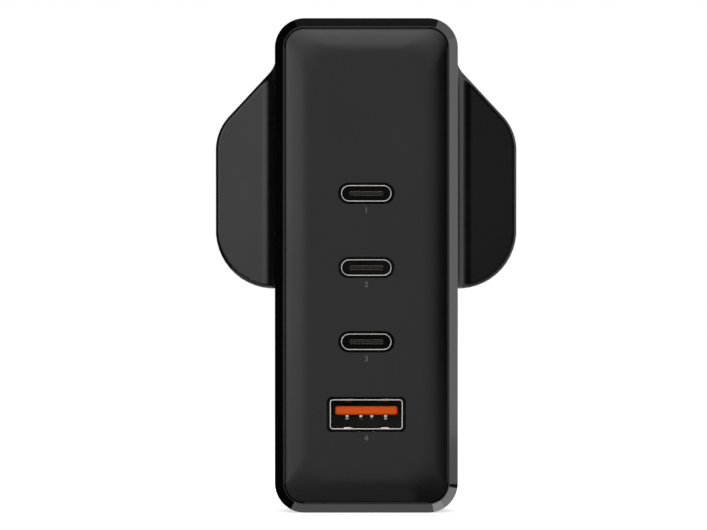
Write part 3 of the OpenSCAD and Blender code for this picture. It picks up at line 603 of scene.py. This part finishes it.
# Front panel: a satin charcoal cover with a softly crowned margin and an opening for each
# port. Six posts on its back carry the port board. It is pressed into the bezel frame.
panel_material = moulded_plastic(
    "panel_matte", (0.0016, 0.0016, 0.0016), (0.0026, 0.0026, 0.0025), (0.25, 0.31),
    scale=7000.0, specular=0.355,
)
panel_inset = frame_high.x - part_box("front_panel")[1].x
panel_corner = corner_radius - panel_inset
crown_width = 4.6 * MM
crown_rise = 0.9 * MM
crown_corner = 6 * MM
panel_thickness = 2 * MM
crown_steps = 24
panel_back_y = front_plane + crown_rise + panel_thickness
print_depth = 0.015 * MM
flat_y = front_plane + print_depth
hair = 0.001 * MM


# A ring of points round a rounded rectangle that stands upright at y, round x = 0
def ring_at(y, z, width, height, radius, steps):
    ring = []
    for quarter, (sx, sz) in enumerate(((1, 1), (-1, 1), (-1, -1), (1, -1))):
        for step in range(steps + 1):
            turn = math.pi / 2 * (quarter + step / steps)
            ring.append((
                sx * (width / 2 - radius) + radius * math.cos(turn), y,
                z + sz * (height / 2 - radius) + radius * math.sin(turn),
            ))
    return ring


# A closed body through rings of points, each joined to the next
def closed_body(shell, rings):
    rows = [[shell.verts.new(point) for point in ring] for ring in rings]
    count = len(rows[0])
    faces = [shell.faces.new(rows[0]), shell.faces.new(reversed(rows[-1]))]
    for near, far in zip(rows, rows[1:]):
        for i in range(count):
            j = (i + 1) % count
            faces.append(shell.faces.new((near[i], far[i], far[j], near[j])))
    return faces


def panel_ring(inset, y):
    radius = panel_corner + (crown_corner - panel_corner) * inset / crown_width
    margin = 2 * (panel_inset + inset)
    return ring_at(y, body_middle, frame_width - margin, frame_height - margin, radius, steps=20)


def panel_slab():
    bend = (crown_width**2 + crown_rise**2) / (2 * crown_rise)
    rings = [panel_ring(0, panel_back_y)]
    for step in range(crown_steps + 1):
        inset = crown_width * step / crown_steps
        drop = bend - math.sqrt(bend**2 - (crown_width - inset) ** 2)
        rings.append(panel_ring(inset, flat_y + drop))
    count = len(rings[0])
    faces = [tuple(range(count))]
    for k in range(len(rings) - 1):
        for i in range(count):
            j = (i + 1) % count
            faces.append((k * count + i, (k + 1) * count + i, (k + 1) * count + j, k * count + j))
    faces.append(tuple(range(len(rings) * count - 1, (len(rings) - 1) * count - 1, -1)))
    mesh = bpy.data.meshes.new("panel_slab")
    mesh.from_pydata([p for ring in rings for p in ring], [], faces)
    return settled(mesh)


def opening(name, *sizes):
    near, far = (ring_at(y, *sizes, steps=16) for y in (front_plane - 1 * MM, panel_back_y + 1 * MM))
    count = len(near)
    faces = [tuple(range(count - 1, -1, -1)), tuple(range(count, 2 * count))]
    faces += [(i, (i + 1) % count, (i + 1) % count + count, i + count) for i in range(count)]
    mesh = bpy.data.meshes.new(name)
    mesh.from_pydata(near + far, [], faces)
    return maker_of(name, settled(mesh))


side_room = 0.55 * MM
end_room = 0.45 * MM
large_corner = 0.9 * MM
small_ports = ["top_port", "middle_port", "lower_port"]
all_ports = small_ports + ["large_port"]
panel_piece = maker_of("panel", panel_slab())
cutters = []
for port in all_ports:
    low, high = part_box(port + "_shell")
    width = high.x - low.x + 2 * side_room
    height = high.z - low.z + 2 * end_room
    corner = large_corner if port == "large_port" else height / 2 - hair
    cutters.append(opening(port + "_cut", (low.z + high.z) / 2, width, height, corner))
for cutter in cutters:
    cut = panel_piece.modifiers.new("cut", "BOOLEAN")
    cut.solver = "EXACT"
    cut.object = cutter
panel_mesh = made_by(panel_piece)
panel_mesh.name = "front_cover"
for cutter in cutters:
    bpy.data.objects.remove(cutter)

# Small rounding of the openings' front edges, as the mould leaves it
cover = bmesh.new()
cover.from_mesh(panel_mesh)
opening_ease = 0.12 * MM
rims = [
    edge for edge in cover.edges
    if len(edge.link_faces) == 2
    and all(abs(v.co.y - flat_y) < 2 * hair for v in edge.verts)
    and edge.calc_face_angle() > math.radians(60)
]
bmesh.ops.bevel(
    cover, geom=rims, offset=opening_ease, segments=3, profile=0.5, affect="EDGES", clamp_overlap=True
)
cover.to_mesh(panel_mesh)
cover.free()

# Six posts that carry the port board. The cover is read anew for them, so that their faces
# come in the same order each run.
cover = bmesh.new()
cover.from_mesh(panel_mesh)
board_low, board_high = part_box("port_board")
board_front_y = board_low.y
port_pitch = 13.5 * MM
post_radius = 1.1 * MM
post_inset = 4 * MM
post_x = (board_high.x - board_low.x) / 2 - 2 * post_radius
post_sides = 40
port_levels = [sum(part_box(port + "_tongue")[k].z for k in (0, 1)) / 2 for port in small_ports]
post_circle = []
for k in range(post_sides):
    turn = math.tau * k / post_sides
    post_circle.append((post_radius * math.sin(turn), post_radius * math.cos(turn)))
for side in (-1, 1):
    for z in (board_high.z - post_inset, port_levels[0] - port_pitch / 2, board_low.z + post_inset):
        closed_body(cover, [
            [(side * post_x + across, y, z + up) for across, up in post_circle]
            for y in (panel_back_y, board_front_y)
        ])
cover.to_mesh(panel_mesh)
cover.free()
panel_mesh = settled(wear_only(panel_mesh, panel_material), angle=35)
stand_for("front_cover", evenly_shaded(panel_mesh), "panel_matte", "front_panel")


# Port shells: tin-plated steel, rolled and drawn, with a thin rim and legs soldered to the
# port board. The large one has four spring fingers that are cut and bent from its walls.

# Rolled sheet metal: fine streaks along one direction and a slow change of gloss
rolled, rolled_in, rolled_out = new_effect(
    "rolled_metal",
    [("Streak Scale", "Float", 4000.0), ("Stretch", "Float", 40.0)],
    [("Height", "Float"), ("Gloss", "Float")],
)
rolled_place = put(rolled, "TexCoord")
stretch = put(rolled, "CombineXYZ", X=1.0, Z=1.0)
join(rolled, rolled_in.outputs["Stretch"], stretch.inputs["Y"])
along = put(rolled, "VectorMath", operation="DIVIDE")
join(rolled, rolled_place.outputs["Object"], along.inputs[0])
join(rolled, stretch.outputs["Vector"], along.inputs[1])
streaks = put(rolled, "TexNoise", Detail=3.0, Roughness=0.6)
join(rolled, along.outputs["Vector"], streaks.inputs["Vector"])
join(rolled, rolled_in.outputs["Streak Scale"], streaks.inputs["Scale"])
join(rolled, streaks.outputs["Fac"], rolled_out.inputs["Height"])
haze = put(rolled, "TexNoise", Scale=300.0, Detail=3.0)
join(rolled, rolled_place.outputs["Object"], haze.inputs["Vector"])
join(rolled, haze.outputs["Fac"], rolled_out.inputs["Gloss"])


def sheet_metal(name, dark, light, gloss, scale=4000.0):
    streak_depth = 0.001 * MM
    material, tree, surface = surface_of(name, Metallic=1.0)
    texture = use_effect(tree, rolled, Streak_Scale=scale)
    join(tree, blend_colours(tree, texture.outputs["Height"], dark, light), surface.inputs["Base Color"])
    join(tree, span(tree, texture.outputs["Gloss"], *gloss), surface.inputs["Roughness"])
    raise_surface(tree, surface, texture.outputs["Height"], 0.3, streak_depth)
    return material


def eased_edges(mesh, offset, wanted):
    piece = bmesh.new()
    piece.from_mesh(mesh)
    edges = [
        edge for edge in piece.edges
        if len(edge.link_faces) == 2 and edge.calc_face_angle() > math.radians(40) and wanted(edge)
    ]
    bmesh.ops.bevel(
        piece, geom=edges, offset=offset, segments=3, profile=0.5, affect="EDGES", clamp_overlap=True
    )
    piece.to_mesh(mesh)
    piece.free()
    return evenly_shaded(settled(mesh))


port_steel = sheet_metal("port_steel", (0.42, 0.41, 0.4), (0.56, 0.55, 0.54), (0.2, 0.32))
rim_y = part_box("top_port_shell")[0].y
finger_tip_y = rim_y + 2.2 * MM
rim_ease = 0.05 * MM
finger_ease = 0.09 * MM


def on_rim(edge):
    return all(abs(v.co.y - rim_y) < hair for v in edge.verts)


def on_finger_tip(edge):
    first, second = (v.co for v in edge.verts)
    at_tip = all(abs(point.y - finger_tip_y) < 10 * hair for point in (first, second))
    return at_tip and abs(first.z - second.z) < hair


for port in all_ports:
    shell_mesh = eased_edges(smooth_copy(port + "_shell", port_steel), rim_ease, on_rim)
    if port == "large_port":
        shell_mesh = eased_edges(shell_mesh, finger_ease, on_finger_tip)
    stand_for(port + "_steel", shell_mesh, "port_steel", port + "_shell")


# Port tongues: moulded blocks that fill the backs of the shells and carry the contacts.
# The small ports have a thin black tongue, the large one an orange tongue on a block coloured
# black as painted shade in the back of the port.

# Each tongue is a block and a bar along Y, with rounded outlines and rounded front edges
least_corner = 0.04 * MM
ease_steps = 5


def moulded_bar(shell, slot, front_y, back_y, z, width, height, corner, ease):
    rings = [ring_at(back_y, z, width, height, corner, steps=8)]
    for step in range(ease_steps + 1):
        turn = math.pi / 2 * step / ease_steps
        inset = ease * (1 - math.cos(turn))
        rings.append(ring_at(
            front_y + ease * (1 - math.sin(turn)), z,
            width - 2 * inset, height - 2 * inset, max(corner - inset, least_corner), steps=8,
        ))
    for face in closed_body(shell, rings):
        face.material_index = slot


def moulded_tongue(name, block, bar, *materials):
    shell = bmesh.new()
    moulded_bar(shell, 0, *block)
    moulded_bar(shell, len(materials) - 1, *bar)
    mesh = bpy.data.meshes.new(name)
    shell.to_mesh(mesh)
    shell.free()
    for material in materials:
        mesh.materials.append(material)
    return evenly_shaded(settled(mesh, angle=40))


# Black plastic of the small ports' tongues, also used on the large port's block as painted shade
tongue_black = moulded_plastic(
    "tongue_black", (0.003, 0.003, 0.003), (0.006, 0.006, 0.006), (0.4, 0.55), scale=14000.0, specular=0.25
)
tongue_orange = moulded_plastic(
    "tongue_orange", (0.5, 0.062, 0.002), (0.58, 0.078, 0.003), (0.45, 0.6), scale=14000.0, specular=0.1
)
block_depth = 3.5 * MM
block_front_y = board_front_y - block_depth
block_ease = 0.05 * MM
bar_back_y = block_front_y + 0.1 * MM
tongue_front_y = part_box("top_port_tongue")[0].y
small_bar_width = 6.7 * MM
small_bar_height = 0.7 * MM
small_bar_corner = 0.3 * MM
small_bar_ease = 0.28 * MM
for port in small_ports:
    low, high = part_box(port + "_tongue")
    z = (low.z + high.z) / 2
    height = high.z - low.z
    tongue_mesh = moulded_tongue(
        port + "_tongue_moulding",
        (block_front_y, board_front_y, z, high.x - low.x, height, height / 2 - hair, block_ease),
        (tongue_front_y, bar_back_y, z, small_bar_width, small_bar_height, small_bar_corner, small_bar_ease),
        tongue_black,
    )
    stand_for(port + "_tongue_moulding", tongue_mesh, "tongue_black", port + "_tongue")
low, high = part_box("large_port_tongue")
large_z = (low.z + high.z) / 2
large_block_corner = 0.33 * MM
orange_z = large_z + 0.75 * MM
orange_middle_z = orange_z - 0.04 * MM
orange_width = 11.4 * MM
orange_height = 1.62 * MM
orange_corner = 0.45 * MM
orange_ease = 0.42 * MM
# The large port's block takes the black material: painted shade for the dark back of the port
tongue_mesh = moulded_tongue(
    "large_port_tongue_moulding",
    (block_front_y, board_front_y, large_z, high.x - low.x, high.z - low.z, large_block_corner, block_ease),
    (tongue_front_y, bar_back_y, orange_middle_z, orange_width, orange_height, orange_corner, orange_ease),
    tongue_black, tongue_orange,
)
stand_for("large_port_tongue_moulding", tongue_mesh, "tongue_orange", "large_port_tongue")


# Port contacts: gold-plated strips with rounded noses, laid in rows on the tongues. The small
# ports' strips are coloured a dull dark grey in place of gold, as painted shade deep in the
# ports. Those of the large port are bent springs under its tongue. Each row is one strip, repeated.
row = bpy.data.node_groups.new("row_of_copies", "GeometryNodeTree")
field(row, "Piece", "Geometry")
field(row, "Row", "Geometry", "OUTPUT")
field(row, "Count", "Int", "INPUT", 12)
field(row, "Pitch", "Float", "INPUT", 0.0005)
field(row, "Finish", "Material")
row_in = row.nodes.new("NodeGroupInput")
row_out = row.nodes.new("NodeGroupOutput")
gaps = put(row, "Math", operation="SUBTRACT")
gaps.inputs[1].default_value = 1
join(row, row_in.outputs["Count"], gaps.inputs[0])
half_row = put(row, "Math", operation="MULTIPLY")
half_row.inputs[1].default_value = -0.5
join(row, gaps.outputs[0], half_row.inputs[0])
first_x = put(row, "Math", operation="MULTIPLY")
join(row, half_row.outputs[0], first_x.inputs[0])
join(row, row_in.outputs["Pitch"], first_x.inputs[1])
first_place = put(row, "CombineXYZ")
join(row, first_x.outputs[0], first_place.inputs["X"])
next_place = put(row, "CombineXYZ")
join(row, row_in.outputs["Pitch"], next_place.inputs["X"])
places = geo(row, "MeshLine", mode="OFFSET")
join(row, row_in.outputs["Count"], places.inputs["Count"])
join(row, first_place.outputs["Vector"], places.inputs["Start Location"])
join(row, next_place.outputs["Vector"], places.inputs["Offset"])
laid = geo(row, "InstanceOnPoints")
join(row, places.outputs["Mesh"], laid.inputs["Points"])
join(row, row_in.outputs["Piece"], laid.inputs["Instance"])
row_real = geo(row, "RealizeInstances")
join(row, laid.outputs["Instances"], row_real.inputs["Geometry"])
row_finish = geo(row, "SetMaterial")
join(row, row_real.outputs["Geometry"], row_finish.inputs["Geometry"])
join(row, row_in.outputs["Finish"], row_finish.inputs["Material"])
join(row, row_finish.outputs["Geometry"], row_out.inputs["Row"])


# A strip of even width: an outline in Y and Z, drawn out along X
def drawn_strip(name, outlines, width):
    shell = bmesh.new()
    for outline_points in outlines:
        closed_body(shell, [[(x, y, z) for y, z in outline_points] for x in (-width / 2, width / 2)])
    mesh = bpy.data.meshes.new(name)
    shell.to_mesh(mesh)
    shell.free()
    return mesh


# A smooth curve through four values in a row, from the second to the third
def between(a, b, c, d, t):
    square = (2 * a - 5 * b + 4 * c - d) * t**2
    cube = (3 * b - a - 3 * c + d) * t**3
    return (2 * b + (c - a) * t + square + cube) / 2


# A sheet of even thickness that follows a smooth path in Y and Z
def bent_sheet(path, thickness, steps=6):
    smooth = []
    held = [path[0], *path, path[-1]]
    for four in zip(held, held[1:], held[2:], held[3:]):
        for step in range(steps):
            smooth.append(tuple(between(*values, step / steps) for values in zip(*four)))
    smooth.append(path[-1])
    return smooth + [(y, z - thickness) for y, z in reversed(smooth)]


# Dull dark grey in place of gold: painted shade on the small ports' contacts, deep in the ports
small_contacts_in_painted_shade = sheet_metal("small_contacts_in_painted_shade", (0.3, 0.28, 0.25), (0.42, 0.4, 0.35), (0.4, 0.55), scale=9000.0)
contact_metal = sheet_metal("contact_metal", (0.66, 0.64, 0.6), (0.78, 0.76, 0.72), (0.3, 0.42), scale=9000.0)
strip_front_y = tongue_front_y + 0.3 * MM
strip_width = 0.25 * MM
strip_pitch = 0.5 * MM
nose = 0.09 * MM
nose_steps = 4
strips_each = 12
for port, z in zip(small_ports, port_levels):
    outlines = []
    for way in (-1, 1):
        seat = z + way * small_bar_height / 2
        arc = []
        for k in range(nose_steps + 1):
            turn = math.pi / 2 * k / nose_steps
            arc.append((strip_front_y + nose * (1 - math.sin(turn)), seat + way * nose * math.cos(turn)))
        outlines.append([(block_front_y, seat), (block_front_y, seat + way * nose)] + arc)
    strip = drawn_strip("small_contact", outlines, strip_width)
    contacts = grown(port + "_strips", row, strip, Count=strips_each, Pitch=strip_pitch, Finish=small_contacts_in_painted_shade)
    stand_for(port + "_strips", settled(contacts, angle=40), "contact_metal", port + "_contacts")

# The springs of the large port: how far forward they reach, and their drop in millimetres
under = orange_z - 0.85 * MM
reach = block_front_y - tongue_front_y
spring_width = 0.5 * MM
spring_thickness = 0.2 * MM
spring = [
    (block_front_y - share * reach, under - drop * MM)
    for share, drop in ((0, 0.01), (0.3, 0.01), (0.52, 0.05), (0.75, 0.72), (0.88, 0.42), (0.94, 0.1))
]
strip = drawn_strip("large_contact", [bent_sheet(spring, spring_thickness)], spring_width)
inner_pitch = 2 * MM
outer_pitch = 7 * MM
pairs = bmesh.new()
for pitch in (inner_pitch, outer_pitch):
    pairs.from_mesh(grown("large_pair", row, strip, Count=2, Pitch=pitch, Finish=contact_metal))
spring_mesh = bpy.data.meshes.new("large_port_springs")
pairs.to_mesh(spring_mesh)
pairs.free()
spring_mesh.materials.append(contact_metal)
stand_for("large_port_springs", settled(spring_mesh, angle=40), "contact_metal", "large_port_contacts")


# Port numbers: small plain numerals under the openings, pad-printed in grey. They lie on the
# panel's flat, within the shallow depth that it stands behind the front plane.
number_ink = moulded_plastic("number_ink", (0.1, 0.1, 0.1), (0.13, 0.13, 0.13), (0.5, 0.65), specular=0.3)
digit_height = 0.98 * MM
digit_share = 0.7
digit_drop = 2.03 * MM
ink_thickness = 0.004 * MM
ink_y = flat_y - 0.006 * MM
turned_back = Matrix.Rotation(math.pi / 2, 4, "X")
for number, port in enumerate(all_ports, start=1):
    letters = bpy.data.curves.new("numeral", "FONT")
    letters.body = str(number)
    letters.align_x = "CENTER"
    letters.size = digit_height / digit_share
    letters.extrude = ink_thickness
    letters.resolution_u = 6
    numeral = made_by(maker_of("numeral", letters))
    base_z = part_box(port + "_shell")[0].z - digit_drop
    numeral.transform(Matrix.Translation((0, ink_y, base_z)) @ turned_back)
    wear_only(numeral, number_ink)
    stand_for("numeral_" + str(number), settled(numeral, angle=30), None)


# Pins: brass live and neutral pins with moulded black sleeves, and a plastic earth pin.
# The tails of the brass pins are gripped by spring clips on the main board.
pin_brass = sheet_metal("pin_brass", (0.62, 0.44, 0.2), (0.74, 0.55, 0.28), (0.2, 0.32), scale=2500.0)
spring_brass = sheet_metal("spring_brass", (0.55, 0.38, 0.17), (0.66, 0.48, 0.24), (0.25, 0.38))
pin_plastic = moulded_plastic("pin_plastic", (0.004, 0.004, 0.004), (0.007, 0.007, 0.007), (0.3, 0.42))
for pin in ("live", "neutral"):
    dress(pin + "_pin", pin_brass)
    dress(pin + "_pin_sleeve", pin_plastic)
    dress(pin + "_clip", spring_brass)
dress("earth_pin", pin_plastic)


# Boards: two green circuit boards, joined by a pin header, and an amber film that keeps
# the main board from the back wall.
board_green = moulded_plastic(
    "board_green", (0.006, 0.05, 0.025), (0.012, 0.09, 0.045), (0.25, 0.4), scale=1500.0
)
film_amber = moulded_plastic("film_amber", (0.45, 0.3, 0.08), (0.55, 0.4, 0.14), (0.2, 0.3), scale=2500.0)
for board in ("port_board", "main_board"):
    dress(board, board_green)
dress("board_link", contact_metal)
dress("insulation_film", film_amber)


# Line choke: a painted ferrite ring with two coils of enamelled copper wire, seated on the
# main board. Each coil is one rounded turn of wire, repeated round the ring's axis.
coil = bpy.data.node_groups.new("coil_turns", "GeometryNodeTree")
field(coil, "Coil", "Geometry", "OUTPUT")
for label, value in (
    ("Ring Radius", 0.0045), ("Turn Width", 0.004), ("Turn Height", 0.007), ("Wire", 0.0007),
    ("Angle", 0.314), ("Start", 0.0),
):
    field(coil, label, "Float", "INPUT", value)
field(coil, "Turns", "Int", "INPUT", 7)
field(coil, "Finish", "Material")
coil_in = coil.nodes.new("NodeGroupInput")
coil_out = coil.nodes.new("NodeGroupOutput")
turn_path = geo(coil, "CurvePrimitiveQuadrilateral")
join(coil, coil_in.outputs["Turn Width"], turn_path.inputs["Width"])
join(coil, coil_in.outputs["Turn Height"], turn_path.inputs["Height"])
turn_bend = geo(coil, "FilletCurve", mode="POLY", Count=5)
join(coil, turn_path.outputs["Curve"], turn_bend.inputs["Curve"])
join(coil, coil_in.outputs["Wire"], turn_bend.inputs["Radius"])
wire_radius = put(coil, "Math", operation="MULTIPLY")
wire_radius.inputs[1].default_value = 0.5
join(coil, coil_in.outputs["Wire"], wire_radius.inputs[0])
wire_round = geo(coil, "CurvePrimitiveCircle", Resolution=12)
join(coil, wire_radius.outputs[0], wire_round.inputs["Radius"])
turn_wire = geo(coil, "CurveToMesh")
join(coil, turn_bend.outputs["Curve"], turn_wire.inputs["Curve"])
join(coil, wire_round.outputs["Curve"], turn_wire.inputs["Profile Curve"])
turn_place = put(coil, "CombineXYZ")
join(coil, coil_in.outputs["Ring Radius"], turn_place.inputs["X"])
turn_out = geo(coil, "Transform")
join(coil, turn_wire.outputs["Mesh"], turn_out.inputs["Geometry"])
join(coil, turn_place.outputs["Vector"], turn_out.inputs["Translation"])
turn_points = geo(coil, "MeshLine", mode="OFFSET", Offset=(0, 0, 0))
join(coil, coil_in.outputs["Turns"], turn_points.inputs["Count"])
turn_number = geo(coil, "InputIndex")
turned = put(coil, "Math", operation="MULTIPLY_ADD")
join(coil, turn_number.outputs["Index"], turned.inputs[0])
join(coil, coil_in.outputs["Angle"], turned.inputs[1])
join(coil, coil_in.outputs["Start"], turned.inputs[2])
turn_way = put(coil, "CombineXYZ")
join(coil, turned.outputs[0], turn_way.inputs["Y"])
turns = geo(coil, "InstanceOnPoints")
join(coil, turn_points.outputs["Mesh"], turns.inputs["Points"])
join(coil, turn_out.outputs["Geometry"], turns.inputs["Instance"])
join(coil, turn_way.outputs["Vector"], turns.inputs["Rotation"])
coil_real = geo(coil, "RealizeInstances")
join(coil, turns.outputs["Instances"], coil_real.inputs["Geometry"])
coil_finish = geo(coil, "SetMaterial")
join(coil, coil_real.outputs["Geometry"], coil_finish.inputs["Geometry"])
join(coil, coil_in.outputs["Finish"], coil_finish.inputs["Material"])
join(coil, coil_finish.outputs["Geometry"], coil_out.inputs["Coil"])

copper_wire = sheet_metal("copper_wire", (0.5, 0.2, 0.07), (0.65, 0.3, 0.12), (0.2, 0.3))
ring_low, ring_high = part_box("choke_core")
coil_low, coil_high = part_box("choke_winding")
wire = 0.7 * MM
turn_gap = (coil_high.y - coil_low.y - (ring_high.y - ring_low.y)) / 2 - wire
ring_width = ring_high.x - ring_low.x
ring_bore = 6.4 * MM
ring_wall = (ring_width - ring_bore) / 2
turn_angle = math.radians(18)
turns_each = 7
coils = bmesh.new()
for half in (0, 1):
    coils.from_mesh(grown(
        "choke_half", coil, bpy.data.meshes.new("choke_base"),
        **{
            "Ring Radius": (ring_width - ring_wall) / 2,
            "Turn Width": ring_wall + 2 * turn_gap + wire,
            "Turn Height": ring_high.y - ring_low.y + 2 * turn_gap + wire,
            "Wire": wire,
            "Angle": turn_angle,
            "Start": half * math.pi - (turns_each - 1) / 2 * turn_angle,
            "Turns": turns_each,
            "Finish": copper_wire,
        },
    ))
bmesh.ops.translate(coils, verts=coils.verts, vec=(ring_low + ring_high) / 2)
coil_mesh = bpy.data.meshes.new("choke_coils")
coils.to_mesh(coil_mesh)
coils.free()
coil_mesh.materials.append(copper_wire)
stand_for("choke_coils", settled(coil_mesh), "copper_wire", "choke_winding")


# Parts on the boards: the power supply's coils, cans, chips and heat spreaders, soldered
# or glued to the two boards.
aluminium_sheet = sheet_metal(
    "aluminium_sheet", (0.7, 0.7, 0.71), (0.82, 0.82, 0.83), (0.3, 0.45), scale=2000.0
)
can_metal = sheet_metal("can_metal", (0.68, 0.68, 0.69), (0.8, 0.8, 0.8), (0.22, 0.35))
pad_silicone = moulded_plastic("pad_silicone", (0.25, 0.32, 0.4), (0.32, 0.4, 0.5), (0.6, 0.8))
ferrite = moulded_plastic("ferrite", (0.015, 0.015, 0.017), (0.035, 0.035, 0.04), (0.45, 0.65), scale=5000.0)
winding_tape = moulded_plastic("winding_tape", (0.5, 0.34, 0.03), (0.62, 0.45, 0.06), (0.25, 0.4))
core_green = moulded_plastic("core_green", (0.03, 0.12, 0.06), (0.05, 0.19, 0.1), (0.35, 0.5))
can_sleeve = moulded_plastic("can_sleeve", (0.008, 0.014, 0.04), (0.014, 0.022, 0.06), (0.2, 0.35))
box_yellow = moulded_plastic("box_yellow", (0.5, 0.3, 0.02), (0.62, 0.4, 0.04), (0.35, 0.5))
disc_blue = moulded_plastic("disc_blue", (0.01, 0.05, 0.2), (0.02, 0.08, 0.28), (0.2, 0.35))
chip_black = moulded_plastic("chip_black", (0.008, 0.008, 0.008), (0.014, 0.014, 0.014), (0.45, 0.6))
fuse_brown = moulded_plastic("fuse_brown", (0.03, 0.014, 0.008), (0.05, 0.025, 0.014), (0.4, 0.55))
finishes = {
    aluminium_sheet: ["left_heat_spreader", "right_heat_spreader"],
    can_metal: ["output_capacitor_1", "output_capacitor_2"],
    pad_silicone: ["thermal_pad"],
    ferrite: ["transformer_core", "port_inductors"],
    winding_tape: ["transformer_winding"],
    core_green: ["choke_core"],
    can_sleeve: ["bulk_capacitor_" + str(k) for k in (1, 2, 3, 4)],
    box_yellow: ["filter_capacitor"],
    disc_blue: ["safety_capacitor"],
    chip_black: [
        "bridge_rectifier", "power_switch", "primary_controller", "transformer_bobbin", "port_controllers"
    ],
    fuse_brown: ["fuse"],
}
for finish_material, parts in finishes.items():
    for part in parts:
        dress(part, finish_material)
